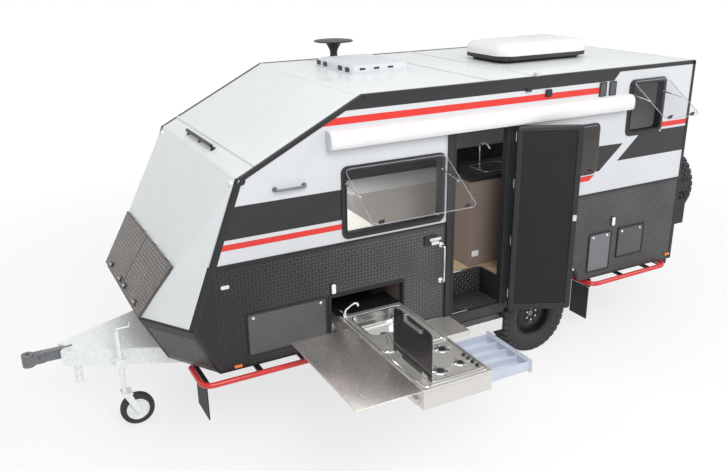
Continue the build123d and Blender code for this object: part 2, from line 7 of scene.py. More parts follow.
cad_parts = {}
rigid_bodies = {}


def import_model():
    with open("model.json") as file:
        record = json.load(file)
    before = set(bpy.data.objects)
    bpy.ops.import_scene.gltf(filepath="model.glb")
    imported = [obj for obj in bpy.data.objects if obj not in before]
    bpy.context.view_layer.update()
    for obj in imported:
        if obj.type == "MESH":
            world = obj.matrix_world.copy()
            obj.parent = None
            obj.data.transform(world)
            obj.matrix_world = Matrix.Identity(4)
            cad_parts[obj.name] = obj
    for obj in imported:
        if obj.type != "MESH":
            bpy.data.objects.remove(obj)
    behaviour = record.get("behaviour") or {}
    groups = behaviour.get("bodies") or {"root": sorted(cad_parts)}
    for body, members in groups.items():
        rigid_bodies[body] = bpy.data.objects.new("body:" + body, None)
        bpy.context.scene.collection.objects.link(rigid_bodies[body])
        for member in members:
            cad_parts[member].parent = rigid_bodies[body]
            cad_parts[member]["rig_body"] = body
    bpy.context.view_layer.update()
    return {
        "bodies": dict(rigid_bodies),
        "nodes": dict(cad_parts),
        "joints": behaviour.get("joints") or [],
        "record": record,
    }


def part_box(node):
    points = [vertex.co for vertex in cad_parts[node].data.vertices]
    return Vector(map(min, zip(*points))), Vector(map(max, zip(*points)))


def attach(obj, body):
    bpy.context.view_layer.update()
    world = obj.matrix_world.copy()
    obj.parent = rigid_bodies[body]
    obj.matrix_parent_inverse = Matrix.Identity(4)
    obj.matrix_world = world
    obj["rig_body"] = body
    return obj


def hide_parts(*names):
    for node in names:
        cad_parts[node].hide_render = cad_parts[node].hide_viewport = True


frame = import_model()
print("frame loaded")


# Shapes are drawn in millimetres: x from the axle, y from the centreline, z from the ground.
def middle(node):
    low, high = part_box(node)
    return (low + high) / 2


origin = Vector((middle("wheel_near_tyre").x, middle("roof_panel").y, 0))
toRow = Matrix.Translation(origin) @ Matrix.Scale(0.001, 4)

bodySet = {
    "half": 1140, "roof": 2850, "skirt": 700, "belt": 1631, "roofFront": -1995, "rear": 1831,
    "knee": (-3066, 2308), "nose": (-3840, 1120), "noseHalf": 660, "noseSide": -3526,
    "chamferSide": -3320, "chamferFront": -3634,
}
side = -bodySet["half"]


# Camera and light. A lamp is its place, what it faces, its size and its power.
cameraSet = {"place": (-4849.6, -6553.8, 3896.1), "azimuth": -27.755, "elevation": 20.071, "roll": -0.763,
             "lens": 38.02}


def makeCamera(s):
    a, e, r = radians(s["azimuth"]), radians(s["elevation"]), radians(s["roll"])
    back = Vector((sin(a) * cos(e), -cos(a) * cos(e), sin(e)))
    right = Vector((0, 0, 1)).cross(back).normalized()
    up = back.cross(right)
    right, up = right * cos(r) + up * sin(r), up * cos(r) - right * sin(r)
    data = bpy.data.cameras.new("photoView")
    data.lens, data.sensor_width, data.clip_end = s["lens"], 36, 100
    camera = bpy.data.objects.new("photoView", data)
    bpy.context.scene.collection.objects.link(camera)
    turn = Matrix((right, up, back)).transposed().to_4x4()
    camera.matrix_world = Matrix.Translation(toRow @ Vector(s["place"])) @ turn
    bpy.context.scene.camera = camera


lightSet = {
    "room": 0.48, "mirror": 0.8, "white": 1.0,
    "lamps": [((-3000, -6900, 6400), (0, -600, 900), 4200, 380),
              ((5200, -5200, 5200), (0, 0, 1200), 3600, 180),
              ((-6500, 3500, 5600), (-1500, 0, 1500), 3600, 90),
              ((-300, -200, 9200), (-300, -200, 0), 8000, 190),
              ((-2050, 100, 2600), (-2250, 100, 0), 500, 22)],
}


def addNode(tree, kind, inputs=None, **settings):     # an input is a value or another node's output
    node = tree.nodes.new(kind)
    for label, value in settings.items():
        setattr(node, label, value)
    for socket, value in (inputs or {}).items():
        if isinstance(value, bpy.types.NodeSocket):
            tree.links.new(value, node.inputs[socket])
        else:
            node.inputs[socket].default_value = value
    return node


def makeLight(s):
    world = bpy.data.worlds.new("softRoom")
    bpy.context.scene.world = world
    world.use_nodes = True
    tree = world.node_tree
    tree.nodes.clear()
    path = addNode(tree, "ShaderNodeLightPath").outputs
    shown = addNode(tree, "ShaderNodeBackground", {"Color": (0.96, 0.98, 1, 1), "Strength": s["room"]})
    rays = (("Is Glossy Ray", s["mirror"]), ("Is Transmission Ray", s["white"]),
            ("Is Camera Ray", s["white"]))
    for ray, strength in rays:
        other = addNode(tree, "ShaderNodeBackground", {"Color": (1, 1, 1, 1), "Strength": strength})
        shown = addNode(tree, "ShaderNodeMixShader", {0: path[ray], 1: shown.outputs[0], 2: other.outputs[0]})
    addNode(tree, "ShaderNodeOutputWorld", {0: shown.outputs[0]})
    for i, (place, aim, size, power) in enumerate(s["lamps"]):
        data = bpy.data.lights.new(f"softBox{i}", "AREA")
        data.shape, data.size, data.energy = "SQUARE", size / 1000, power
        lamp = bpy.data.objects.new(f"softBox{i}", data)
        bpy.context.scene.collection.objects.link(lamp)
        lamp.location = toRow @ Vector(place)
        lamp.rotation_euler = (Vector(place) - Vector(aim)).to_track_quat("Z", "Y").to_euler()
    bpy.context.scene.view_settings.view_transform = "Standard"


makeCamera(cameraSet)
makeLight(lightSet)
print("camera and light made")


# Finishes
def paintOf(red, green, blue):
    values = [c / 255 for c in (red, green, blue)]
    return tuple(((c + 0.055) / 1.055) ** 2.4 if c > 0.04 else c / 12.92 for c in values) + (1,)


def scaled(color, factor):
    return tuple(min(c * factor, 1) for c in color[:3]) + (1,)


def addNoise(tree, space, scale, detail, stretch):
    spread = addNode(tree, "ShaderNodeMapping", {"Scale": stretch, "Vector": space}).outputs[0]
    noise = {"Scale": scale, "Detail": detail, "Vector": spread}
    return addNode(tree, "ShaderNodeTexNoise", noise).outputs["Fac"]


def makeFinish(name, color, rough=0.5, metal=0.0, vary=0.05, cloud=3.0, grain=0.1, grainScale=260.0,
               stretch=(1, 1, 1), spread=0.05, pattern=None, drift=None, **fixed):
    material = bpy.data.materials.new(name)
    material.use_nodes = True
    tree = material.node_tree
    shader = tree.nodes["Principled BSDF"]
    space = addNode(tree, "ShaderNodeTexCoord").outputs["Object"]
    fine = addNoise(tree, space, grainScale, 3, stretch)
    if pattern in ("woodY", "woodZ"):
        spacing = addNode(tree, "ShaderNodeMapping", {"Scale": stretch, "Vector": space}).outputs[0]
        rings = {"Scale": cloud, "Distortion": 5.0, "Detail": 4.0, "Detail Scale": 2.2, "Vector": spacing}
        blend = addNode(tree, "ShaderNodeTexWave", rings, bands_direction=pattern[-1]).outputs["Fac"]
    elif pattern == "spangle":
        blend = addNode(tree, "ShaderNodeTexVoronoi", {"Scale": cloud, "Vector": space}).outputs["Color"]
    else:
        blend = addNoise(tree, space, cloud, 5, stretch)
    tone = addNode(tree, "ShaderNodeValToRGB", {0: blend})
    for element, place, factor in zip(tone.color_ramp.elements, (0.3, 0.7), (1 - vary, 1 + vary)):
        element.position, element.color = place, scaled(color, factor)
    shade = tone.outputs[0]
    if drift:     # painted reflection: the colour is made lighter along x, as the room is mirrored in the plate
        along = addNode(tree, "ShaderNodeSeparateXYZ", {0: space}).outputs["X"]
        ends = dict(zip(("From Min", "From Max", "To Min", "To Max"), drift))
        factor = addNode(tree, "ShaderNodeMapRange", {"Value": along, **ends}).outputs[0]
        shade = scaleVector(tree, shade, factor)
    height = fine
    if pattern == "weave":
        wave = {"Scale": grainScale, "Vector": space}
        waves = [addNode(tree, "ShaderNodeTexWave", wave, bands_direction=way) for way in ("X", "Y")]
        height = mathNode(tree, "MULTIPLY", *(node.outputs["Fac"] for node in waves))
    reach = {"To Min": max(rough - spread, 0.02), "To Max": rough + spread, "Value": fine}
    bump = {"Strength": grain, "Distance": 0.001, "Height": height}
    for socket, kind, inputs in (("Roughness", "MapRange", reach), ("Normal", "Bump", bump)):
        tree.links.new(addNode(tree, "ShaderNode" + kind, inputs).outputs[0], shader.inputs[socket])
    tree.links.new(shade, shader.inputs["Base Color"])
    shader.inputs["Metallic"].default_value = metal
    for socket, value in fixed.items():
        shader.inputs[socket.replace("_", " ")].default_value = value
    return material


def mathNode(tree, operation, *values):
    return addNode(tree, "ShaderNodeMath", dict(enumerate(values)), operation=operation).outputs[0]


def scaleVector(tree, vector, factor):
    return addNode(tree, "ShaderNodeVectorMath", {0: vector, "Scale": factor}, operation="SCALE").outputs[0]


plateReflectionRamp = (-1.9, -0.2, 0.38, 1.3)     # painted reflection on the tread plate: metres along the row frame, then factors
white = makeFinish("whitePanel", paintOf(224, 227, 227), 0.34, vary=0.02, grain=0.03, Coat_Weight=0.2)
silver = makeFinish("silverPanel", paintOf(205, 207, 210), 0.34, vary=0.025, grain=0.03, Coat_Weight=0.25)
checker = makeFinish("treadPlate", paintOf(62, 62, 63), 0.42, 0.35, vary=0.16, cloud=2.2, grain=0.12,
                     grainScale=420, drift=plateReflectionRamp)
chinPlate = makeFinish("chinPlate", paintOf(88, 88, 89), 0.4, 0.4, vary=0.1, cloud=4, grain=0.12,
                       grainScale=420)
# the lozenges are a lighter copy of the tread plate: painted highlight where the ridges catch the light
lozengeHighlight = makeFinish("treadRidges", paintOf(88, 88, 89), 0.34, 0.5, vary=0.2, cloud=2.2, grain=0.1,
                          grainScale=420, drift=plateReflectionRamp)
bootPlate = makeFinish("bootPlate", paintOf(96, 91, 88), 0.36, 0.6, vary=0.12, cloud=6, grain=0.12,
                       grainScale=420)
# the step and boot lozenges are a lighter copy of the boot plate: painted highlight on the ridges
bootRidgeHighlight = makeFinish("bootRidges", paintOf(134, 129, 126), 0.3, 0.7, vary=0.12, cloud=6, grain=0.12,
                       grainScale=420)
grey = makeFinish("greyPlate", paintOf(120, 122, 125), 0.4, 0.5, vary=0.08, grain=0.1)
zinc = makeFinish("zincSteel", paintOf(242, 244, 244), 0.44, 0.25, vary=0.05, cloud=70, grain=0.08,
                  pattern="spangle")
blackSteel = makeFinish("blackSteel", paintOf(30, 31, 33), 0.4, 0.2, vary=0.15, grain=0.15)
red = makeFinish("redSteel", paintOf(205, 38, 34), 0.3, 0.0, vary=0.06, grain=0.05, Coat_Weight=0.4)
stainless = makeFinish("brushedStainless", paintOf(214, 211, 206), 0.36, 0.72, vary=0.05, cloud=9, grain=0.10,
                       grainScale=40, stretch=(1.5, 40, 40), spread=0.08)
shelfShine = makeFinish("shelfSheet", paintOf(228, 222, 216), 0.28, 0.85, vary=0.04, cloud=6, grain=0.03,
                        stretch=(1, 0.1, 1))
polished = makeFinish("polishedStainless", paintOf(226, 226, 224), 0.15, 0.95, vary=0.03, grain=0.02)
chrome = makeFinish("chrome", paintOf(225, 226, 228), 0.08, 1.0, vary=0.02, grain=0.01)
tinted = makeFinish("tintedPane", paintOf(58, 52, 48), 0.06, vary=0.04, grain=0.0, Alpha=0.86)
clearPane = makeFinish("clearPane", paintOf(96, 98, 102), 0.05, vary=0.03, grain=0.0, Alpha=0.07)
paneEdge = makeFinish("paneEdge", paintOf(190, 193, 197), 0.1, vary=0.03, grain=0.0, Alpha=0.4)
blackGlass = makeFinish("blackGlass", paintOf(18, 18, 20), 0.06, vary=0.1, grain=0.0, Coat_Weight=0.6)
tyreRubber = makeFinish("tyreRubber", paintOf(50, 49, 49), 0.72, vary=0.14, cloud=14, grain=0.3,
                        grainScale=500)
rubber = makeFinish("softRubber", paintOf(24, 24, 25), 0.6, vary=0.12, grain=0.2)
whitePlastic = makeFinish("whitePlastic", paintOf(226, 226, 225), 0.42, vary=0.02, grain=0.08)
blackPlastic = makeFinish("blackPlastic", paintOf(28, 28, 30), 0.42, vary=0.12, grain=0.2)
trayBlue = makeFinish("trayPlastic", paintOf(190, 196, 209), 0.42, vary=0.05, grain=0.08)
oak = makeFinish("woodGrain", paintOf(138, 122, 115), 0.5, vary=0.08, cloud=16, stretch=(0.12, 0.12, 1),
                 grain=0.1, pattern="woodZ")
paleBoard = makeFinish("paleBoard", paintOf(224, 223, 221), 0.5, vary=0.03, grain=0.05)
floorOak = makeFinish("floorOak", paintOf(188, 164, 132), 0.45, vary=0.06, cloud=12, stretch=(0.12, 1, 1),
                      grain=0.08, pattern="woodY")
greyCap = makeFinish("greyCap", paintOf(206, 208, 210), 0.4, vary=0.04)
linen = makeFinish("linen", paintOf(214, 210, 203), 0.85, vary=0.05, grain=0.5, grainScale=180,
                   pattern="weave", Sheen_Weight=0.3)
amber = makeFinish("amberLens", paintOf(226, 120, 24), 0.2, vary=0.08, grain=0.05, Coat_Weight=0.5)
redLens = makeFinish("redLens", paintOf(170, 20, 22), 0.2, vary=0.08, grain=0.05, Coat_Weight=0.5)
whiteLens = makeFinish("whiteLens", paintOf(232, 236, 240), 0.2, vary=0.03, grain=0.05, Coat_Weight=0.5)
stripeBlack = makeFinish("blackFilm", paintOf(26, 26, 28), 0.35, vary=0.08, grain=0.03, Coat_Weight=0.2)
stripeRed = makeFinish("redFilm", paintOf(214, 44, 36), 0.35, vary=0.03, grain=0.03, Coat_Weight=0.2)
screenCloth = makeFinish("screenMesh", paintOf(20, 20, 22), 0.7, vary=0.2, grain=0.4, grainScale=700,
                         Alpha=0.72)
floorPaint = makeFinish("floorPaint", (0.9, 0.9, 0.91, 1), 0.7, vary=0.01, grain=0.02)
print("finishes made")


# Shape tools
placeAlong = {"x": lambda a, b, c: (c, a, b), "y": lambda a, b, c: (a, c, b), "z": lambda a, b, c: (a, b, c)}


def pour(bm, name="poured"):
    mesh = bpy.data.meshes.new(name)
    bm.to_mesh(mesh)
    bm.free()
    return mesh


def addBox(bm, x, y, z):
    size = Vector((x[1] - x[0], y[1] - y[0], z[1] - z[0]))
    centre = Vector((x[0] + x[1], y[0] + y[1], z[0] + z[1])) / 2
    verts = bmesh.ops.create_cube(bm, size=1)["verts"]
    bmesh.ops.transform(bm, matrix=Matrix.Translation(centre) @ Matrix.Diagonal((*size, 1)), verts=verts)


def addLoft(bm, rings, closed=False, caps=True):
    rows = [[bm.verts.new(p) for p in ring] for ring in rings]
    count = len(rows[0])
    pairs = list(zip(rows, rows[1:])) + ([(rows[-1], rows[0])] if closed else [])
    for a, b in pairs:
        for i in range(count):
            j = (i + 1) % count
            bm.faces.new((a[i], a[j], b[j], b[i]))
    if caps and not closed:
        bm.faces.new(rows[0][::-1])
        bm.faces.new(rows[-1])
    return [v for row in rows for v in row]


def addStack(bm, rows, axis="y", closed=False):     # a row is an outline and its place along the axis
    return addLoft(bm, [[placeAlong[axis](a, b, c) for a, b in outline] for outline, c in rows],
                   closed=closed)


def addPrism(bm, outline, low, high, axis="y"):
    return addStack(bm, ((outline, low), (outline, high)), axis)


def addRing(bm, outer, inner, low, high, axis="y"):
    return addStack(bm, ((outer, low), (outer, high), (inner, high), (inner, low)), axis, True)


def roundOutline(a, b, radius, steps=6):
    points = []
    for cx, cy, start in ((a[1] - radius, b[1] - radius, 0), (a[0] + radius, b[1] - radius, 90),
                          (a[0] + radius, b[0] + radius, 180), (a[1] - radius, b[0] + radius, 270)):
        for i in range(steps + 1):
            angle = radians(start + 90 * i / steps)
            points.append((cx + radius * cos(angle), cy + radius * sin(angle)))
    return points


def insetOutline(a, b, inset, radius, steps=6):
    return roundOutline((a[0] + inset, a[1] - inset), (b[0] + inset, b[1] - inset), radius, steps)


def bendPath(points, bend, steps=6):
    points = [Vector(p) for p in points]
    line = [points[0]]
    for before, corner, after in zip(points, points[1:], points[2:]):
        a, b = (before - corner).normalized(), (after - corner).normalized()
        half = a.angle(b) / 2
        reach = min(bend / max(abs(sin(half) / cos(half)), 0.01), (before - corner).length * 0.49,
                    (after - corner).length * 0.49)
        for i in range(steps + 1):
            t = i / steps
            line.append((corner + a * reach).lerp(corner, t).lerp(corner.lerp(corner + b * reach, t), t))
    return line + [points[-1]]


def addTube(bm, points, radius, sides=12, bend=0, caps=True):
    line = bendPath(points, bend) if bend else [Vector(p) for p in points]
    rings = []
    normal = None
    for i, p in enumerate(line):
        ahead = (line[min(i + 1, len(line) - 1)] - line[max(i - 1, 0)]).normalized()
        if normal is None:
            normal = ahead.orthogonal().normalized()
        normal = (normal - ahead * normal.dot(ahead)).normalized()
        other = ahead.cross(normal)
        size = radius[i] if isinstance(radius, (list, tuple)) else radius
        turns = [2 * pi * k / sides for k in range(sides)]
        rings.append([p + (normal * cos(turn) + other * sin(turn)) * size for turn in turns])
    return addLoft(bm, rings, caps=caps)


def addLathe(bm, profile, centre, axis="y", sides=32, closed=True):
    cx, cy, cz = centre
    place = {
        "y": lambda r, t, a: (cx + r * cos(a), cy + t, cz + r * sin(a)),
        "z": lambda r, t, a: (cx + r * cos(a), cy + r * sin(a), cz + t),
    }[axis]
    rings = [[place(max(r, 0.0), t, 2 * pi * k / sides) for k in range(sides)] for r, t in profile]
    return addLoft(bm, rings, closed=closed, caps=not closed)


kneeAt, noseAt = bodySet["knee"], bodySet["nose"]


def alongNose(down, across, out):
    knee = Vector((kneeAt[0], 0, kneeAt[1]))
    slope = (Vector((noseAt[0], 0, noseAt[1])) - knee).normalized()
    point = knee + slope * down + Vector((slope.z, 0, -slope.x)) * out
    return Vector((point.x, across, point.z))


noseStart = alongNose(0, 0, 0)
noseAxes = (alongNose(0, 1, 0) - noseStart, noseStart - alongNose(1, 0, 0), alongNose(0, 0, 1) - noseStart)
noseTurn = Matrix((*((*line, 0) for line in noseAxes), (0, 0, 0, 1))).transposed()
noseTurn = Matrix.Translation(noseStart) @ noseTurn    # local x across, y up the slope, z out of it


def move(bm, verts, matrix):
    bmesh.ops.transform(bm, matrix=matrix, verts=list(verts))


def mirrorCopy(bm):
    old = list(bm.faces)
    made = bmesh.ops.duplicate(bm, geom=list(bm.verts) + list(bm.edges) + old)["geom"]
    verts = [g for g in made if isinstance(g, bmesh.types.BMVert)]
    bmesh.ops.scale(bm, vec=(1, -1, 1), verts=verts)
    bmesh.ops.reverse_faces(bm, faces=[g for g in made if isinstance(g, bmesh.types.BMFace)])


def makePiece(name, bm, finish, body="trailer", stands=(), bevel=0, sharp=32, placed=False,
              tidy=True):
    if tidy:
        bmesh.ops.remove_doubles(bm, verts=bm.verts, dist=0.01)
        bmesh.ops.recalc_face_normals(bm, faces=bm.faces)
    mesh = pour(bm, name)
    if not placed:
        mesh.transform(toRow)
    mesh.materials.clear()
    mesh.materials.append(finish)
    mesh.shade_smooth()
    mesh.set_sharp_from_angle(angle=radians(sharp))
    piece = bpy.data.objects.new(name, mesh)
    bpy.context.scene.collection.objects.link(piece)
    if bevel:
        edge = piece.modifiers.new("edges", "BEVEL")
        edge.width, edge.segments = bevel / 1000, 2
        edge.limit_method, edge.angle_limit = "ANGLE", radians(sharp)
        edge.harden_normals = True
    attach(piece, body)
    if stands:
        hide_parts(*stands)
    return piece


def softCopy(node, finish, bevel=2.0, label="", keep=None):     # a node's own solid, with softened edges
    source = frame["nodes"][node]
    bm = bmesh.new()
    bm.from_mesh(source.data)
    bmesh.ops.remove_doubles(bm, verts=bm.verts, dist=0.00002)
    bmesh.ops.dissolve_limit(bm, angle_limit=radians(0.8), verts=bm.verts, edges=bm.edges)
    if keep:
        others = [face for face in bm.faces if not keep(toRow.inverted() @ face.calc_center_median())]
        bmesh.ops.delete(bm, geom=others, context="FACES")
    name = node + label + "_dressed"
    return makePiece(name, bm, finish, source["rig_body"], stands=[node], bevel=bevel, placed=True, tidy=False)


# Trees that repeat a shape
def newTree(name, *inputs):
    tree = bpy.data.node_groups.new(name, "GeometryNodeTree")
    tree.interface.new_socket("Geometry", in_out="INPUT", socket_type="NodeSocketGeometry")
    for label, kind, value in (*inputs, ("Finish", "Material", None)):
        socket = tree.interface.new_socket(label, in_out="INPUT", socket_type="NodeSocket" + kind)
        if value is not None:
            socket.default_value = value
    tree.interface.new_socket("Geometry", in_out="OUTPUT", socket_type="NodeSocketGeometry")
    return tree, addNode(tree, "NodeGroupInput").outputs


def finishTree(tree, shapes, given):
    real = addNode(tree, "GeometryNodeRealizeInstances", {0: shapes.outputs[0]}).outputs[0]
    paint = {"Geometry": real, "Material": given["Finish"]}
    addNode(tree, "NodeGroupOutput", {0: addNode(tree, "GeometryNodeSetMaterial", paint).outputs[0]})
    return tree


def makeRowTree():
    tree, given = newTree("rowsOfCopies", ("Count", "Int", 4), ("Step", "Vector", (10, 0, 0)),
                          ("Rows", "Int", 1), ("Row Step", "Vector", (0, 10, 0)))
    index = addNode(tree, "GeometryNodeInputIndex").outputs[0]
    column = mathNode(tree, "MODULO", index, given["Count"])
    row = mathNode(tree, "FLOOR", mathNode(tree, "DIVIDE", index, given["Count"]))
    total = mathNode(tree, "MULTIPLY", given["Count"], given["Rows"])
    steps = {0: scaleVector(tree, given["Step"], column), 1: scaleVector(tree, given["Row Step"], row)}
    place = addNode(tree, "ShaderNodeVectorMath", steps).outputs[0]
    points = addNode(tree, "GeometryNodePoints", {"Count": total, "Position": place}).outputs[0]
    copies = {"Points": points, "Instance": given["Geometry"]}
    return finishTree(tree, addNode(tree, "GeometryNodeInstanceOnPoints", copies), given)


def makeRingTree():
    tree, given = newTree("ringOfCopies", ("Count", "Int", 6), ("Centre", "Vector", (0, 0, 0)),
                          ("Axis", "Vector", (0, 1, 0)))
    index = addNode(tree, "GeometryNodeInputIndex").outputs[0]
    angle = mathNode(tree, "DIVIDE", mathNode(tree, "MULTIPLY", index, 2 * pi), given["Count"])
    spin = addNode(tree, "FunctionNodeEulerToRotation",
                   {0: scaleVector(tree, given["Axis"], angle)}).outputs[0]
    place = {"Count": given["Count"], "Position": given["Centre"]}
    points = addNode(tree, "GeometryNodePoints", place).outputs[0]
    copies = {"Points": points, "Instance": given["Geometry"], "Rotation": spin}
    return finishTree(tree, addNode(tree, "GeometryNodeInstanceOnPoints", copies), given)


def makeCheckerTree():     # a grid of lozenges over the patch, leaning one way and the other by turns
    tree, given = newTree("raisedLozenges", ("Pitch", "Float", 30.0), ("Lozenge", "Object", None))
    box = addNode(tree, "GeometryNodeBoundBox", {0: given["Geometry"]}).outputs
    size = addNode(tree, "ShaderNodeVectorMath", {0: box["Max"], 1: box["Min"]},
                   operation="SUBTRACT").outputs[0]
    parts = addNode(tree, "ShaderNodeSeparateXYZ", {0: size}).outputs
    low = addNode(tree, "ShaderNodeSeparateXYZ", {0: box["Min"]}).outputs
    pitch = given["Pitch"]
    columns = mathNode(tree, "CEIL", mathNode(tree, "DIVIDE", parts["X"], pitch))
    rows = mathNode(tree, "CEIL", mathNode(tree, "DIVIDE", parts["Y"], pitch))
    index = addNode(tree, "GeometryNodeInputIndex").outputs[0]
    column = mathNode(tree, "MODULO", index, columns)
    row = mathNode(tree, "FLOOR", mathNode(tree, "DIVIDE", index, columns))
    spots = {}
    for axis, step in (("X", column), ("Y", row)):
        inner = mathNode(tree, "MULTIPLY", mathNode(tree, "ADD", step, 0.5), pitch)
        spots[axis] = mathNode(tree, "ADD", inner, low[axis])
    spot = addNode(tree, "ShaderNodeCombineXYZ", spots).outputs[0]
    count = mathNode(tree, "MULTIPLY", columns, rows)
    points = addNode(tree, "GeometryNodePoints", {"Count": count, "Position": spot}).outputs[0]
    lean = mathNode(tree, "MODULO", mathNode(tree, "ADD", column, row), 2.0)
    lean = mathNode(tree, "SUBTRACT", mathNode(tree, "MULTIPLY", lean, pi / 2), pi / 4)
    stored = {0: points, "Name": "lean", "Value": lean}
    points = addNode(tree, "GeometryNodeStoreNamedAttribute", stored, data_type="FLOAT").outputs[0]
    away = addNode(tree, "GeometryNodeProximity", {0: given["Geometry"]}).outputs["Distance"]
    inside = {0: points, 1: mathNode(tree, "LESS_THAN", away, 0.05)}
    points = addNode(tree, "GeometryNodeSeparateGeometry", inside, domain="POINT").outputs[0]
    lean = addNode(tree, "GeometryNodeInputNamedAttribute", {"Name": "lean"}, data_type="FLOAT").outputs[0]
    turn = addNode(tree, "ShaderNodeCombineXYZ", {"Z": lean}).outputs[0]
    spin = addNode(tree, "FunctionNodeEulerToRotation", {0: turn}).outputs[0]
    shape = addNode(tree, "GeometryNodeObjectInfo", {0: given["Lozenge"]}).outputs["Geometry"]
    copies = {"Points": points, "Instance": shape, "Rotation": spin}
    return finishTree(tree, addNode(tree, "GeometryNodeInstanceOnPoints", copies), given)


def makeSpringTree():
    tree, given = newTree("coilSpring", ("Turns", "Float", 6.0), ("Coil Radius", "Float", 50.0),
                          ("Height", "Float", 200.0), ("Wire", "Float", 7.0), ("Place", "Vector", (0, 0, 0)))
    coil = {"Resolution": 28, "Rotations": given["Turns"], "Start Radius": given["Coil Radius"],
            "End Radius": given["Coil Radius"], "Height": given["Height"]}
    spiral = addNode(tree, "GeometryNodeCurveSpiral", coil).outputs[0]
    ring = {"Resolution": 10, "Radius": given["Wire"]}
    wire = addNode(tree, "GeometryNodeCurvePrimitiveCircle", ring).outputs[0]
    sweep = {"Curve": spiral, "Profile Curve": wire, "Fill Caps": True}
    sweep = addNode(tree, "GeometryNodeCurveToMesh", sweep).outputs[0]
    shift = {"Geometry": sweep, "Translation": given["Place"]}
    return finishTree(tree, addNode(tree, "GeometryNodeTransform", shift), given)


rowTree, ringTree = makeRowTree(), makeRingTree()
checkerTree, springTree = makeCheckerTree(), makeSpringTree()


def grow(tree, bm, finish, **values):
    bmesh.ops.recalc_face_normals(bm, faces=bm.faces)
    holder = bpy.data.objects.new("seed", pour(bm, "seed"))
    bpy.context.scene.collection.objects.link(holder)
    node = holder.modifiers.new("repeat", "NODES")
    node.node_group = tree
    values["Finish"] = finish
    for item in tree.interface.items_tree:
        label = item.name.replace(" ", "")
        if item.in_out == "INPUT" and label in values:
            node[item.identifier] = values[label]
    holder.update_tag()
    graph = bpy.context.evaluated_depsgraph_get()
    made = bpy.data.meshes.new_from_object(holder.evaluated_get(graph))
    holder.modifiers.remove(node)
    bpy.data.objects.remove(holder)
    return made


def joined(*meshes):
    bm = bmesh.new()
    for mesh in meshes:
        bm.from_mesh(mesh)
    return bm


print("tools made")


# The plain finish of every node that stays
slotFinish = {
    "white_panel": white, "silver_panel": silver, "dark_checker": checker, "grey_panel": grey,
    "frame_steel": zinc, "black_steel": blackSteel, "red_steel": red, "stainless": stainless,
    "chrome": chrome, "tinted_glass": tinted, "black_glass": blackGlass, "tyre_rubber": tyreRubber,
    "rubber": rubber, "white_plastic": whitePlastic, "black_plastic": blackPlastic,
    "tray_plastic": trayBlue, "oak": oak, "floor_oak": floorOak, "linen": linen, "lamp_lens": amber,
}
slotOf = {entry["node"]: entry["material_slot"] for entry in frame["record"]["subparts"]}
for node, solid in frame["nodes"].items():
    finish = slotFinish.get(slotOf.get(node), grey)
    for place in solid.material_slots:
        place.material = finish


# Film stripes on both sides
stripeSet = {
    "lift": 1.2,
    "black": [[(-3147, 2096), (-3250, 1835), (-2196, 1835), (-2196, 2096)],
              [(-2216, 2738), (728, 2738), (818, 2838), (-2019, 2838)],
              [(874, 1932), (1831, 1932), (1831, 2188), (1446, 2188), (1446, 2168), (1140, 2168)],
              [(602, 2112), (930, 2105), (640, 1856), (602, 1856)]],
    "red": [[(-3263, 1800), (-3283, 1752), (-2196, 1752), (-2196, 1800)],
            [(-2311, 2690), (-2425, 2632), (545, 2632), (545, 2690)],
            [(1446, 2212), (1831, 2212), (1831, 2262), (1446, 2262)],
            [(330, 1825), (585, 1828), (520, 1775), (330, 1775)]],
}


def makeStripes(s):
    for tone, film in (("black", stripeBlack), ("red", stripeRed)):
        bm = bmesh.new()
        for outline in s[tone]:
            addPrism(bm, outline, side - s["lift"], side + 0.5)
        mirrorCopy(bm)
        makePiece(f"stripes_{tone}", bm, film)


makeStripes(stripeSet)


# Corner trims, an angle along each edge of the body. Pairs are flange and thickness.
trimSet = {
    "edge": (32, 4), "belt": (14, 5), "beltX": ((-3326, -1164), (-420, bodySet["rear"])),
    "kneeCap": (29, [(0, -5.5), (31, -5.5), (33, 0), (33, 30), (0, 30)], 36),
    "noseCap": (24, [(0, -5.5), (24, -5.5), (26, 0), (26, 24), (0, 24)], 30),
    "post": [((-470, -415), (side - 8, side), (630, 2444)), ((-1104, -470), (-1159, -1138), (598, 700))],
    "roofFold": (24, 2), "kneeFold": (20, 2), "facetFold": (16, 2), "lowFold": (18, 4),
    "frontFold": (18, 3), "lip": (22, 4),
    "band": 84, "bandOut": (0.5, 5), "rails": ((160, 186, 8), (150, 157, 3)), "railIn": 34,
}
roofNear, roofEnd = (Vector((bodySet[place], side, bodySet["roof"])) for place in ("roofFront", "rear"))
foldNear = Vector((noseAt[0], -bodySet["noseHalf"], noseAt[1]))
kneeNear = Vector((kneeAt[0], side, kneeAt[1]))
cornerNear = Vector((bodySet["noseSide"], side, noseAt[1]))
chamferNear = Vector((bodySet["chamferSide"], side, bodySet["skirt"]))
chamferFold = Vector((bodySet["chamferFront"], -bodySet["noseHalf"], bodySet["skirt"]))


def outwardOf(a, b, c):
    normal = (b - a).cross(c - a).normalized()
    return -normal if normal.y > 0 else normal


facetOut = outwardOf(kneeNear, foldNear, cornerNear)
chamferOut = outwardOf(chamferNear, cornerNear, foldNear)
roofOut, sideOut, rearOut = Vector((0, 0, 1)), Vector((0, -1, 0)), Vector((1, 0, 0))
slopeOut = Vector((kneeAt[1] - bodySet["roof"], 0, bodySet["roofFront"] - kneeAt[0])).normalized()
noseOut = alongNose(0, 0, 1) - noseStart
frontOut = Vector((-(noseAt[1] - bodySet["skirt"]), 0, noseAt[0] - bodySet["chamferFront"])).normalized()


def onSide(near, way):     # what is given for the near side, way -1, or mirrored to the far side
    return Vector((near.x, -way * near.y, near.z))


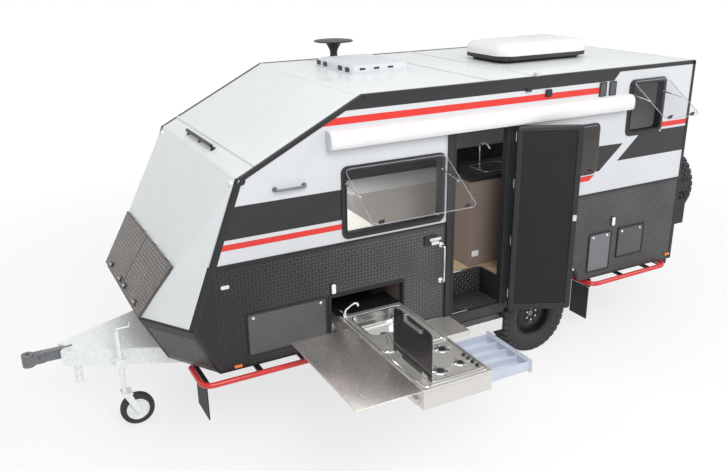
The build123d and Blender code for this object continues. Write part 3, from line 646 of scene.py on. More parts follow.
def addAngle(bm, start, end, normalA, normalB, flange, thick):
    line = (end - start).normalized()
    a, b = normalA.cross(line), normalB.cross(line)
    a = -a if a.dot(normalB) > 0 else a
    b = -b if b.dot(normalA) > 0 else b
    out = (normalA + normalB) / (1 + normalA.dot(normalB))
    section = [a * flange + normalA * thick, out * thick, b * flange + normalB * thick, b * flange,
               Vector((0, 0, 0)), a * flange]
    addLoft(bm, [[p + q for q in section] for p in (start, end)])


def makeCornerTrims(s):
    rearLow = Vector((roofEnd.x, side, bodySet["skirt"]))
    edges = [(roofNear, roofEnd, roofOut), (kneeNear, roofNear, slopeOut), (kneeNear, cornerNear, facetOut),
             (cornerNear, chamferNear, chamferOut), (rearLow, roofEnd, rearOut)]
    bm = bmesh.new()
    for start, end, out in edges:
        addAngle(bm, start, end, out, sideOut, *s["edge"])
    high, thick = s["belt"]
    for x in s["beltX"]:
        addBox(bm, x, (side - thick, side), (bodySet["belt"] - high, bodySet["belt"] + high / 2))
    for corner, before, after, cap in ((kneeNear, roofNear, cornerNear, "kneeCap"),
                                       (cornerNear, kneeNear, chamferNear, "noseCap")):
        reach, profile, sides = s[cap]
        inward = (before - corner).normalized() + (after - corner).normalized()
        addLathe(bm, profile, corner + inward.normalized() * reach, "y", sides, closed=False)
    mirrorCopy(bm)
    makePiece("corner_trims", bm, blackPlastic, bevel=1.5)
    bm = bmesh.new()     # hinge post beside the doorway, and its sill
    for box in s["post"]:
        addBox(bm, *box)
    makePiece("doorway_post", bm, blackPlastic, bevel=1.5)


def makeFoldTrims(s):
    bm = bmesh.new()
    addAngle(bm, roofEnd, onSide(roofEnd, 1), roofOut, rearOut, *s["edge"])
    addAngle(bm, roofNear, onSide(roofNear, 1), roofOut, slopeOut, *s["roofFold"])
    makePiece("roof_cross_trims", bm, white, bevel=1)
    bm = bmesh.new()     # seams where the nose folds
    addAngle(bm, kneeNear, onSide(kneeNear, 1), slopeOut, noseOut, *s["kneeFold"])
    for way in (-1, 1):
        addAngle(bm, onSide(kneeNear, way), onSide(foldNear, way), onSide(facetOut, way), noseOut,
                 *s["facetFold"])
    makePiece("nose_folds", bm, white, bevel=1)
    bm = bmesh.new()
    for way in (-1, 1):
        low, turned = onSide(foldNear, way), onSide(chamferOut, way)
        addAngle(bm, low, onSide(cornerNear, way), onSide(facetOut, way), turned, *s["lowFold"])
        addAngle(bm, low, onSide(chamferFold, way), turned, frontOut, *s["frontFold"])
    addAngle(bm, foldNear, onSide(foldNear, 1), noseOut, frontOut, *s["lip"])
    makePiece("nose_lower_trims", bm, blackPlastic, bevel=1.5)


def makeNoseBand(s):     # tread band under the pale nose, and the rail along the top of the nose hatch
    def addBand(a, b, downA, downB, out):
        addLoft(bm, [[p + out * t for p in (a, b, b + downB, a + downA)] for t in s["bandOut"]])

    bm = bmesh.new()
    downSide = (chamferNear - cornerNear).normalized() * s["band"]
    downFold = (chamferFold - foldNear).normalized() * s["band"]
    addBand(cornerNear, foldNear, downSide, downFold, chamferOut)
    mirrorCopy(bm)
    addBand(foldNear, onSide(foldNear, 1), downFold, onSide(downFold, 1), frontOut)
    makePiece("nose_band", bm, blackPlastic)
    bm = bmesh.new()
    rise, near = (roofNear - kneeNear).normalized(), kneeNear + Vector((0, s["railIn"], 0))
    for low, high, out in s["rails"]:
        section = ((low, 0), (low, out), (high, out), (high, 0))
        addLoft(bm, [[p + rise * a + slopeOut * b for a, b in section] for p in (near, onSide(near, 1))])
    makePiece("nose_hatch_rail", bm, white, bevel=2)


makeCornerTrims(trimSet)
makeFoldTrims(trimSet)
makeNoseBand(trimSet)
print("stripes and trims made")


# Window frames, panes and stays. A profile's rows are inset, rounding taken off the corner,
# and depth out of the wall.
windowSet = {
    "bed": ((-2190, -1200), (1670, 2275), True), "dinette": ((-60, 590), (1855, 2340), False),
    "rear": ((955, 1430), (2180, 2715), True), "angle": 56, "corner": 60, "steps": 8,
    "frame": ((-12, 0, 0), (-12, 0, 9), (2, 8, 14), (35, 20, 12), (35, 20, -62), (5, 6, -62), (5, 6, 0)),
    "seal": ((22, 16, 13), (22, 16, 18), (31, 19, 18), (31, 19, 13)),
    "pane": ((6, 6, 20), (6, 6, 26), (16, 12, 31)),
    "edge": ((5, 6, 19), (5, 6, 28), (9, 9, 28), (9, 9, 19)),
    "catchIn": 90, "catch": ((26, (24, 46), 9, 4, (20, 8)), (20, (28, 38), 4, 3, (42, 31))),
    "pivot": 26, "stayIn": 26, "stayFoot": (15, 135), "stayTip": (16, 10), "sleeve": 6.5, "rod": 4, "pin": 8,
}


def addProfile(bm, s, x, z, rows, closed=True):
    outlines = [(insetOutline(x, z, inset, s["corner"] - less, s["steps"]), side - out)
                for inset, less, out in rows]
    addStack(bm, outlines, "y", closed)


def addStays(bm, s, x, z):
    tilt, reach = radians(s["angle"]), (z[1] - z[0]) * 0.5
    tip = (side - s["pivot"] - reach * sin(tilt) + s["stayTip"][0],
           z[1] - reach * cos(tilt) - s["stayTip"][1])
    foot = (side - s["stayFoot"][0], z[1] - s["stayFoot"][1])
    half = ((foot[0] + tip[0]) / 2, (foot[1] + tip[1]) / 2)
    for along in (x[0] + s["stayIn"], x[1] - s["stayIn"]):
        addTube(bm, [(along, *foot), (along, *half)], s["sleeve"], 10)
        addTube(bm, [(along, *half), (along, *tip)], s["rod"], 10)
        addTube(bm, [(along - 7, *foot), (along + 7, *foot)], s["pin"], 10)
        addTube(bm, [(along - 9, *tip), (along + 9, *tip)], s["pin"], 10)


def makeWindows(s):
    frames, seals, clear, brown, stays, catches, edges = (bmesh.new() for _ in range(7))
    for name in ("bed", "dinette", "rear"):
        x, z, opens = s[name]
        pivot = Matrix.Translation((0, side - s["pivot"], z[1]))
        tilt = pivot @ Matrix.Rotation(radians(-s["angle"]), 4, "X") @ pivot.inverted()
        for away in (False, True):
            parts = [bmesh.new() for _ in range(5)]
            frame, seal, pane, catch, edge = parts
            addProfile(frame, s, x, z, s["frame"])
            addProfile(seal, s, x, z, s["seal"])
            addProfile(pane, s, x, z, s["pane"], False)
            if opens:
                addProfile(edge, s, x, z, s["edge"])
            for along in (x[0] + s["catchIn"], x[1] - s["catchIn"]):
                for half, (low, high), radius, steps, (near, far) in s["catch"]:
                    height = (z[0] + low, z[0] + high)
                    outline = roundOutline((along - half, along + half), height, radius, steps)
                    addPrism(catch, outline, side - near, side - far)
            if opens and not away:
                for bm in (pane, catch, edge):
                    move(bm, bm.verts, tilt)
            if away:
                for bm in parts:
                    bmesh.ops.scale(bm, vec=(1, -1, 1), verts=bm.verts)
            for bm, target in zip(parts, (frames, seals, clear if opens else brown, catches, edges)):
                target.from_mesh(pour(bm))
        if opens:
            addStays(stays, s, x, z)
    makePiece("window_frames_moulded", frames, blackPlastic, stands=["window_frames"])
    makePiece("window_seals", seals, rubber)
    makePiece("window_panes_clear", clear, clearPane, stands=["window_panes"])
    makePiece("window_pane_edges", edges, paneEdge)
    makePiece("window_panes_brown", brown, tinted, stands=["window_panes"])
    makePiece("window_stays", stays, chrome)
    makePiece("window_catches", catches, blackPlastic, bevel=1)


makeWindows(windowSet)
print("windows made")


# Road wheels and spares. Profiles are radius and place along the axle.
tyreSet = {
    "radius": 399, "outer": 400, "half": 132, "rim": 216, "depth": 13, "lugs": 34, "sides": 72,
    "shoulder": ((62, -16), (64, -1), (98, -2), (116, -12), (129, -38), (132, -62), (126, -62), (100, -16)),
    "blocks": ((-44, 0.1, 8), (-14, 0.55, -8), (16, 0.05, 8), (46, 0.5, -8)), "blockHalf": 12,
    "wallRings": ((262, 7), (300, -0.5), (334, 1)),
}
rimSet = {
    "barrel": [(216, -104), (219, -100), (219, -92), (208, -88), (200, -70), (194, -20), (194, 40),
               (200, 78), (208, 88), (219, 92), (219, 100), (216, 104), (208, 100), (200, 84), (190, 60),
               (188, 20), (188, -30), (196, -74), (206, -98)],
    "face": [(36, 30), (60, 44), (78, 46), (100, 66), (120, 64), (192, 42), (192, 34), (120, 55), (100, 56),
             (84, 36), (62, 32), (36, 20)],
    "cap": [(0, 58), (20, 57), (32, 48), (37, 30), (0, 30)], "holes": 10, "holeAt": (134, 166), "nuts": 6,
    "nutAt": (52, 62),
}
wheelPlaces = {"wheel_near": (0, -964, 400), "wheel_far": (0, 964, 400)}


def tyreCarcass(bm, s):
    base, half, rim = s["radius"] - s["depth"], s["half"], s["rim"]
    profile = [(rim, -96), (rim + 10, -110), (rim + 30, -124), (290, -half), (322, -half), (350, -half + 5),
               (372, -half + 14), (base - 2, -half + 34), (base, -60), (base, 0)]
    profile += [(r, -t) for r, t in profile[-2::-1]] + [(rim - 2, 90), (rim - 2, -90)]
    addLathe(bm, profile, (0, 0, 0), "y", s["sides"])


def tyreLugs(s):
    top, pitch = s["radius"], 2 * pi * s["radius"] / s["lugs"]
    base = top - s["depth"] - 3
    bm = bmesh.new()
    for y in (-1, 1):     # shoulder blocks, wrapped over the shoulder
        wide = pitch * 0.33 if y < 0 else pitch * 0.3
        lean = pitch * 0.25 * (y + 1)
        rings = [[(lean + a + (t - 60) * 0.06 * y, y * t, top + drop) for t, drop in s["shoulder"]]
                 for a in (-wide, wide)]
        addLoft(bm, rings if y < 0 else [ring[::-1] for ring in rings])
    for y, shift, skew in s["blocks"]:
        low, high, wide, middle = y - s["blockHalf"], y + s["blockHalf"], pitch * 0.27, pitch * shift
        rings = []
        for r, e in ((base, 0.9), (top - 2.5, 0.8)):
            rings.append([(middle - wide + skew * e, low, r), (middle + wide + skew * e, low, r),
                          (middle + wide - skew * e, high, r), (middle - wide - skew * e, high, r)])
        addLoft(bm, rings)
    return grow(ringTree, bm, tyreRubber, Count=s["lugs"], Axis=(0, 1, 0))


def makeTyre(name, s, centre, body, turn=Matrix(), stands=()):
    bm = bmesh.new()
    tyreCarcass(bm, s)
    bmesh.ops.recalc_face_normals(bm, faces=bm.faces)
    bm = joined(pour(bm), tyreLugs(s))
    for r, sink in s["wallRings"]:     # moulded rings on the sidewall
        for y in (-1, 1):
            t = y * (s["half"] - sink)
            bead = [(r - 3, t), (r - 1, t + 2.5 * y), (r + 1, t + 2.5 * y), (r + 3, t), (r, t - 4 * y)]
            addLathe(bm, bead, (0, 0, 0), "y", s["sides"])
    move(bm, bm.verts, Matrix.Translation(centre) @ turn)
    makePiece(name, bm, tyreRubber, body, stands)


def makeRim(name, s, centre, body, out, turn=Matrix(), stands=()):
    place = Matrix.Translation(centre) @ turn
    dish, holes, dark, nuts = (bmesh.new() for _ in range(4))
    addLathe(dish, s["barrel"], (0, 0, 0), "y", 64)
    addLathe(dish, [(r, t * out) for r, t in s["face"]], (0, 0, 0), "y", 64)
    gap = roundOutline((-15, 15), (s["holeAt"][0] + 5, s["holeAt"][1] - 5), 10, 4)
    addRing(holes, roundOutline((-20, 20), s["holeAt"], 14, 4), gap, 47 * out, 60 * out)
    # a thin dark sheet fills each hole ring of the solid dish: painted shade for the shadowed opening behind
    # the hole
    addPrism(dark, gap, 51 * out, 52.5 * out)
    nut = bmesh.ops.create_cone(nuts, cap_ends=True, segments=6, radius1=11, radius2=10, depth=22)
    upright = Matrix.Rotation(pi / 2, 4, "X")
    move(nuts, nut["verts"], Matrix.Translation((0, s["nutAt"][0] * out, s["nutAt"][1])) @ upright)
    whole = joined(grow(ringTree, holes, blackSteel, Count=s["holes"], Axis=(0, 1, 0)))
    bmesh.ops.recalc_face_normals(dish, faces=dish.faces)
    whole.from_mesh(pour(dish))
    move(whole, whole.verts, place)
    makePiece(name, whole, blackSteel, body, stands, tidy=False)
    for label, seed, count, finish, slot in (("nuts", nuts, s["nuts"], chrome, "chrome"),
                                             ("windows", dark, s["holes"], rubber, "black_steel")):
        bm = joined(grow(ringTree, seed, finish, Count=count, Axis=(0, 1, 0)))
        move(bm, bm.verts, place)
        makePiece(f"{name}_{label}", bm, finish, body, tidy=False)
    bm = bmesh.new()
    addLathe(bm, [(r, t * out) for r, t in s["cap"]], (0, 0, 0), "y", 32, closed=False)
    move(bm, bm.verts, place)
    makePiece(f"{name}_cap", bm, grey, body)


for name, centre in wheelPlaces.items():
    makeTyre(f"{name}_tread", tyreSet, centre, name, stands=[f"{name}_tyre"])
    makeRim(f"{name}_dish", rimSet, centre, name, -1 if "near" in name else 1, stands=[f"{name}_rim"])
spareMiddle = toRow.inverted() @ middle("spare_tyre")
spareLow, spareHigh = (toRow.inverted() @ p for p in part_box("spare_tyre"))
spareGap = (spareHigh.y - spareLow.y) / 2 - tyreSet["outer"]
for label, way in (("near", -1), ("far", 1)):
    centre = (spareMiddle.x, spareMiddle.y + way * spareGap, spareMiddle.z)
    quarter = Matrix.Rotation(pi / 2, 4, "Z")
    makeTyre(f"spare_{label}_tread", tyreSet, centre, "trailer", quarter, ["spare_tyre"])
    makeRim(f"spare_{label}_dish", rimSet, centre, "trailer", -1, quarter, ["spare_rim"])
print("wheels made")


# Tread plate: raised lozenges on the dark panels
hatchSet = {
    "front": ((-3088, -2360), (790, 1178)), "wheel": ((590, 900), (770, 1195)),
    "rear": ((985, 1362), (866, 1200)),
    "gasket": 16, "corner": 26, "proud": 12, "lock": (62, 46),
}
checkerSet = {"pitch": 31.0, "length": 31.0, "width": 10.0, "height": 2.4}


def makeLozenge(s):
    bm = bmesh.new()
    a, b, h = s["length"] / 2, s["width"] / 2, s["height"]
    c = a * 0.45
    outline = ((a, 0, 0), (c, b, 0), (-c, b, 0), (-a, 0, 0), (-c, -b, 0), (c, -b, 0))
    base = [bm.verts.new(p) for p in outline]
    ridge = [bm.verts.new(p) for p in ((a * 0.5, 0, h), (-a * 0.5, 0, h))]
    for i, j, r in ((0, 1, 0), (2, 3, 1), (3, 4, 1), (5, 0, 0)):
        bm.faces.new((base[i], base[j], ridge[r]))
    bm.faces.new((base[1], base[2], ridge[1], ridge[0]))
    bm.faces.new((base[4], base[5], ridge[0], ridge[1]))
    bm.faces.new(base[::-1])
    seed = bpy.data.objects.new("lozenge", pour(bm))
    bpy.context.scene.collection.objects.link(seed)
    return seed


lozenge = makeLozenge(checkerSet)


def makeChecker(name, patches, place, finish, body="trailer", both=False):
    bm = bmesh.new()
    for patch in patches:
        bm.faces.new([bm.verts.new((a, b, 0)) for a, b in patch])
    bm = joined(grow(checkerTree, bm, finish, Pitch=checkerSet["pitch"], Lozenge=lozenge))
    move(bm, bm.verts, place)
    if both:
        mirrorCopy(bm)
    makePiece(name, bm, finish, body, tidy=False, sharp=20)


def flatBox(x, z):
    return [(x[0], z[0]), (x[1], z[0]), (x[1], z[1]), (x[0], z[1])]


def planeOf(point, out, rise):     # local y along rise, z along out
    across = rise.cross(out).normalized()
    turn = Matrix((across, out.cross(across), out)).transposed().to_4x4()
    return Matrix.Translation(point) @ turn


def wallPlane(out):     # x along the side, y up, z out of it
    return Matrix.Translation((0, -out, 0)) @ Matrix.Rotation(pi / 2, 4, "X")


# What the plate covers on each side, round the hatches, the kitchen, the doorway and the wheel
plateSet = {
    "nearNose": [(-3310, 1500), (-3310, 735), (-3120, 735), (-3120, 1605), (-3325, 1605)],
    "near": [((-3120, -2350), (1195, 1605)), ((-3090, -2350), (725, 770)), ((-2350, -1600), (1192, 1605)),
             ((-1580, -1185), (725, 1605)), ((-2350, -1600), (722, 742)), ((-450, 570), (945, 1605)),
             ((570, 920), (1212, 1605)), ((920, 970), (725, 1605)), ((970, 1380), (1218, 1605)),
             ((970, 1380), (725, 850)),
             ((1380, 1795), (725, 1605)), ((580, 920), (722, 752))],
    "far": [((-3310, 1795), (1215, 1605)), ((-2340, -520), (725, 1215)), ((-3300, -3110), (735, 1215)),
            ((580, 1795), (722, 752)), ((915, 970), (752, 1215)), ((1380, 1795), (752, 1215)),
            ((-520, 580), (950, 1215))],
    "noseLower": ((-630, 630), (-200, 100)), "chinShare": (0.92, 0.84, 22),
    "step": ((-1090, -530), (-1130, -834)), "stepTop": 706, "riser": ((-1090, -530), (720, 960)),
    "riserAt": 830,
    "boot": ((12, -1392), (680, -1392), (803, -888), (12, -888)), "bootTop": 25,
}


def makePlates(s):
    flip = Matrix.Diagonal((1, -1, 1, 1))
    walls = wallPlane(abs(side))
    makeChecker("near_plate_lozenges", [s["nearNose"]] + [flatBox(*patch) for patch in s["near"]], walls,
                lozengeHighlight)
    makeChecker("far_plate_lozenges", [flatBox(*patch) for patch in s["far"]], flip @ walls, lozengeHighlight)
    edge, proud = hatchSet["gasket"] + 4, abs(side) + hatchSet["proud"] - 5
    for label, body, both in (("front", "trailer", True), ("rear", "rear_hatch", False)):
        x, z = hatchSet[label]
        patch = flatBox((x[0] + edge, x[1] - edge), (z[0] + edge, z[1] - edge))
        makeChecker(f"{label}_hatch_lozenges", [patch], wallPlane(proud), bootPlate, body, both)
    frame["nodes"]["nose_lower"].data.materials[0] = chinPlate
    middleLow = Vector(((noseAt[0] + bodySet["chamferFront"]) / 2, 0, (noseAt[1] + bodySet["skirt"]) / 2))
    front = planeOf(middleLow, frontOut, frontOut.cross(Vector((0, 1, 0))))
    makeChecker("nose_lower_lozenges", [flatBox(*s["noseLower"])], front, bootPlate)
    middleChin = (cornerNear + foldNear + chamferNear + chamferFold) / 4
    rise = (foldNear - chamferFold + cornerNear - chamferNear).normalized()
    chin = planeOf(middleChin, chamferOut, (rise - chamferOut * rise.dot(chamferOut)).normalized())
    across, up, drop = s["chinShare"]
    corners = [chin.inverted() @ p for p in (chamferNear, chamferFold, foldNear, cornerNear)]
    patch = [(p.x * across, p.y * up - (drop if i > 1 else 0)) for i, p in enumerate(corners)]
    makeChecker("chin_lozenges", [patch], chin, bootPlate, both=True)
    makeChecker("step_lozenges", [flatBox(*s["step"])], Matrix.Translation((0, 0, s["stepTop"])), bootRidgeHighlight)
    makeChecker("riser_lozenges", [flatBox(*s["riser"])], wallPlane(s["riserAt"]), bootPlate)
    for label, way in (("near", -1), ("far", 1)):
        patch = [(way * a, b) for a, b in s["boot"]][::way]
        slope = noseTurn @ Matrix.Translation((0, 0, s["bootTop"]))
        makeChecker(f"boot_{label}_lozenges", [patch], slope, bootRidgeHighlight, f"boot_door_{label}")


makePlates(plateSet)
bpy.data.objects.remove(lozenge)
print("tread plate made")


# Hatches in the lower walls
def makeHatch(name, x, z, s, body, panel, way, stands=()):
    face, proud = abs(side), abs(side) + s["proud"]
    outer, lip = insetOutline(x, z, 2, s["corner"]), insetOutline(x, z, 7, s["corner"] - 5)
    inner = insetOutline(x, z, s["gasket"], s["corner"] - 12)
    bm = bmesh.new()
    rows = ((outer, face - 4), (outer, proud - 5), (lip, proud), (inner, proud - 2), (inner, face - 4))
    addStack(bm, [(line, way * y) for line, y in rows], "y", True)
    makePiece(f"{name}_gasket", bm, rubber, body, stands)
    bm = bmesh.new()
    addPrism(bm, inner, way * (face - 6), way * (proud - 5))
    makePiece(f"{name}_panel", bm, panel, body, bevel=1)
    bm = bmesh.new()
    along, down = s["lock"]
    for spot in (x[0] + along, x[1] - along):
        barrel = [(r, way * (face + t)) for r, t in ((0, 12), (10, 12), (13, 9), (13, 4), (0, 4))]
        addLathe(bm, barrel, (spot, 0, z[1] - down), "y", 20, closed=False)
        addBox(bm, (spot - 2, spot + 2), sorted((way * (face + 10), way * (face + 14))),
               (z[1] - 52, z[1] - 40))
    makePiece(f"{name}_locks", bm, chrome, body)


for label, body, panel in (("front", "trailer", chinPlate), ("wheel", "trailer", grey),
                           ("rear", "rear_hatch", chinPlate)):
    x, z = hatchSet[label]
    stands = ["rear_hatch"] if label == "rear" else ["service_hatches"]
    makeHatch(f"{label}_hatch_near", x, z, hatchSet, body, panel, -1, stands)
    makeHatch(f"{label}_hatch_far", x, z, hatchSet, "trailer", panel, 1)
bm = bmesh.new()
mouth = ((-2347, -1597), (748, 1175))
addRing(bm, roundOutline(*mouth, 20), insetOutline(*mouth, 22, 6), side, side - 12)
makePiece("kitchen_mouth_frame", bm, blackPlastic, bevel=2)


# Slide-out kitchen. The bowl's rows are inset, corner radius and height.
kitchenSet = {
    "x": (-2245, -1640), "y": (-2505, -860), "top": 950, "steps": 8, "coverFrom": -1126,
    "bowlX": (-2165, -1720), "bowlY": (-1590, -1190), "waste": 40,
    "bowl": ((-10, 82, 951), (0, 72, 949), (3, 70, 905), (9, 66, 850), (20, 60, 832), (44, 50, 823),
             (90, 40, 820)),
    "bowlBack": ((90, 40, 817), (42, 52, 820), (17, 62, 829), (6, 68, 849), (0, 72, 905), (-4, 76, 946),
                 (-10, 82, 949)),
    "strainer": [(0, 819), (16, 818), (20, 820), (34, 821), (42, 822.5), (44, 821), (44, 812), (0, 812)],
    "ribs": 9, "ribFan": (120, 205), "button": [(0, 955), (9, 955), (14, 951), (14, 949), (0, 949)],
    "hob": ((-2130, -1668), (-2440, -1930)), "rims": ((-1885, -1168), (-2478, -1905)),
    "burners": [(-1990, -2330, 62), (-1790, -2300, 50), (-1990, -2060, 50), (-1790, -2050, 62)],
    # shares of the burner's radius, and heights over the worktop
    "pan": ((0, 4), (0.5, 4), (0.62, 6), (0.74, 6), (0.86, 3), (0.96, 1), (0.96, 0), (0, 0)),
    "burnerCap": ((0, 9), (0.38, 9), (0.48, 7.5), (0.5, 5.5), (0.44, 3), (0, 3)),
    "knob": [(0, 20), (11, 19), (15, 14), (16, 2), (0, 2)], "knobs": (-1702, -2400, 60),
    "tapFoot": (50, -1140), "tapBody": [(0, 34), (19, 34), (22, 28), (22, 6), (27, 2), (27, 0), (0, 0)],
    "lidX": (-2159, -2151), "lidHinges": (-2380, -2010), "shelf": ((-2800, -2260), (-2515, -1377)),
    "shelfHinges": (-2400, -1950, -1500), "runner": (-1112, -1486),
    "drawerFront": ((-1241, -1236), (-2489, -1911), (805, 913)),
}


def makeWorktop(s):
    x, y, top, steps = s["x"], s["y"], s["top"], s["steps"]

    def bowl(inset, radius):
        return insetOutline(s["bowlX"], s["bowlY"], inset, radius, steps)

    bm = bmesh.new()
    deck = roundOutline((x[0] - 6, x[1] + 6), (y[0] - 6, y[1]), 14, steps)
    fold = roundOutline((x[0] - 3, x[1] + 3), (y[0] - 3, y[1] - 1), 11, steps)
    rows = ((deck, top - 15), (deck, top - 2), (fold, top), (bowl(-12, 84), top), (bowl(-9, 81), top - 3),
            (bowl(-12, 84), top - 6), (fold, top - 6), (fold, top - 15))
    addStack(bm, rows, "z", True)
    makePiece("worktop", bm, stainless, stands=["kitchen_top"])
    bm = bmesh.new()
    cx, cy = sum(s["bowlX"]) / 2, sum(s["bowlY"]) / 2
    waste = roundOutline((cx - s["waste"], cx + s["waste"]), (cy - s["waste"], cy + s["waste"]),
                         s["waste"] - 0.1, steps)
    rows = [(bowl(inset, radius), level) for inset, radius, level in s["bowl"]] + [(waste, 817), (waste, 814)]
    addStack(bm, rows + [(bowl(inset, radius), level) for inset, radius, level in s["bowlBack"]], "z", True)
    addLathe(bm, s["strainer"], (cx, cy, 0), "z", 32, closed=False)
    makePiece("sink_bowl", bm, polished)
    bm = bmesh.new()     # fan of drainer ribs, between bowl and hob
    wide, wider = s["ribFan"]
    for i in range(s["ribs"]):
        t = (i - 4) / 4
        start = (cx + t * wide, s["bowlY"][0] - 42, top + 0.5)
        end = (cx + t * wider, s["bowlY"][0] - 235 + abs(t) * 34, top + 0.5)
        halfway = ((start[0] + end[0]) / 2 - t * 14, (start[1] + end[1]) / 2, top + 0.5)
        addTube(bm, [start, halfway, end], 3.6, 8, 60)
    addLathe(bm, s["button"], (x[0] + 70, -1150, 0), "z", 20, closed=False)
    makePiece("drainer_ribs", bm, polished)


def makeHob(s):
    x, y, top = s["x"], s["y"], s["top"]
    pans, caps, supports = bmesh.new(), bmesh.new(), []
    addRing(pans, roundOutline(*s["hob"], 26, 5), insetOutline(*s["hob"], 8, 20, 5), top, top + 5, "z")
    for bx, by, r in s["burners"]:
        addLathe(pans, [(r * share, level) for share, level in s["pan"]], (bx, by, top), "z", 40,
                 closed=False)
        addLathe(caps, [(r * share, level) for share, level in s["burnerCap"]], (bx, by, top), "z", 36,
                 closed=False)
        arm = bmesh.new()
        addTube(arm, [(r * 0.52, 0, 5), (r + 24, 0, 5), (r + 30, 0, 1)], 3.5, 10, 3)
        supports.append(grow(ringTree, arm, chrome, Count=4, Centre=(bx, by, top), Axis=(0, 0, 1)))
    knobX, knobY, gap = s["knobs"]
    for i in range(4):
        addLathe(caps, s["knob"], (knobX, knobY + i * gap, top), "z", 20, closed=False)
    makePiece("hob_pans", pans, polished)
    makePiece("burner_caps", caps, blackPlastic)
    makePiece("pan_supports", joined(*supports), chrome, tidy=False)
    bm = bmesh.new()     # raised rims round the sink half and the hob half
    for rimY in s["rims"]:
        loop = [(a, b, top + 1) for a, b in roundOutline((x[0] + 22, x[1] - 18), rimY, 44, s["steps"])]
        addTube(bm, loop + loop[:2], 5, 8, caps=False)
    makePiece("worktop_rims", bm, chrome, tidy=False)
    bm = bmesh.new()     # dark cover over the end that stays in the body
    addBox(bm, (x[0] - 7, x[1] + 7), (s["coverFrom"], y[1]), (top - 2, top + 3))
    makePiece("worktop_cover", bm, blackPlastic, bevel=1)


def makeTap(s):
    bm = bmesh.new()
    fx, fy, top = s["x"][0] + s["tapFoot"][0], s["tapFoot"][1], s["top"]
    addLathe(bm, s["tapBody"], (fx, fy, top), "z", 28, closed=False)
    spout = [(fx, fy, top + 30), (fx + 8, fy - 4, top + 62), (fx + 66, fy - 26, top + 112),
             (fx + 108, fy - 40, top + 120)]
    addTube(bm, spout, [11 - i / 8 for i in range(17)], 14, 60)
    addTube(bm, [(fx + 98, fy - 37, top + 126), (fx + 112, fy - 42, top + 94)], 12, 14)
    addTube(bm, [(fx, fy + 12, top + 22), (fx - 26, fy + 42, top + 44)], 5, 10)
    makePiece("tap", bm, chrome)


def makeLidAndShelf(s):
    bm = bmesh.new()
    outline = [(-1919, 971)] + roundOutline((-2465, -1919), (800, 1361), 45, 6)[:14] + [(-2465, 971)]
    addPrism(bm, outline, *s["lidX"], "x")
    makePiece("glass_lid", bm, blackGlass, "hob_lid", ["hob_lid"], bevel=1.5)
    bm = bmesh.new()
    for y, z in (((-2330, -2090), (1306, 1338)), ((-2112, -2090), (1330, 1372))):     # the catch, an angle
        addBox(bm, (-2172, -2151), y, z)
    for c in s["lidHinges"]:
        addBox(bm, (-2163, -2147), (c - 34, c + 34), (968, 1004))
        addTube(bm, [(-2155, c - 34, 968), (-2155, c + 34, 968)], 5, 12)
    makePiece("lid_clips", bm, polished, "hob_lid", bevel=1.5)
    bm = bmesh.new()
    sheet, hem = roundOutline(*s["shelf"], 14, 5), insetOutline(*s["shelf"], 6, 10, 5)
    addStack(bm, ((hem, 946), (sheet, 948), (sheet, 954), (hem, 956)), "z")
    makePiece("shelf_sheet", bm, shelfShine, "side_shelf", ["side_shelf"])
    bm = bmesh.new()
    for c in s["shelfHinges"]:
        addBox(bm, (-2330, -2264), (c - 34, c + 34), (941, 946.5))
        addTube(bm, [(-2258, c - 36, 950), (-2258, c + 36, 950)], 5, 12)
    makePiece("shelf_hinges", bm, polished, "side_shelf", bevel=1)


def makeDrawer(s):
    bm = bmesh.new()     # ledge over the drawer runner, beside the box
    reach, end = s["runner"]
    addBox(bm, (s["x"][1] + 4, reach), (end, side), (694, 698))
    addBox(bm, (s["x"][1] + 4, reach), (end, end + 4), (640, 698))
    makePiece("drawer_ledge", bm, stainless, bevel=1)
    softCopy("cutlery_drawer", trayBlue, 3)
    bm = bmesh.new()
    addBox(bm, *s["drawerFront"])
    pull = [(-1236, -2280, 880), (-1226, -2280, 880), (-1226, -2120, 880), (-1236, -2120, 880)]
    addTube(bm, pull, 4, 10, 6)
    makePiece("drawer_front", bm, stainless, "cutlery_drawer", bevel=1.5)


makeWorktop(kitchenSet)
makeHob(kitchenSet)
makeTap(kitchenSet)
bm = bmesh.new()     # end plate of the box, with its folded flange
x, y = kitchenSet["x"], kitchenSet["y"]
addBox(bm, (x[0] - 2, x[1] + 2), (y[0] - 3, y[0]), (790, 932))
addBox(bm, (x[0] + 40, x[1] - 40), (y[0] - 6, y[0] - 2), (900, 922))
makePiece("kitchen_end_plate", bm, stainless, bevel=1.5)
softCopy("kitchen_box", stainless, 1.5)
makeLidAndShelf(kitchenSet)
makeDrawer(kitchenSet)
print("kitchen made")


# Entry door and its screen. It is drawn shut and swung open.
doorSet = {
    "hinge": (-462, -1196), "open": 154, "x": (-1068, -468), "z": (641, 2441), "corner": 30, "steps": 6,
    "leaf": ((4, 26, -1192), (0, 30, -1196), (0, 30, -1218), (4, 26, -1222)), "edge": (34, 16, -1188, -1216),
    "pane": ((-960, -576), (1720, 2280)), "kickTop": 1560, "clothX": (-1012, -524), "clothZ": (698, 2390),
    "catchZ": (1540, 1600),
}


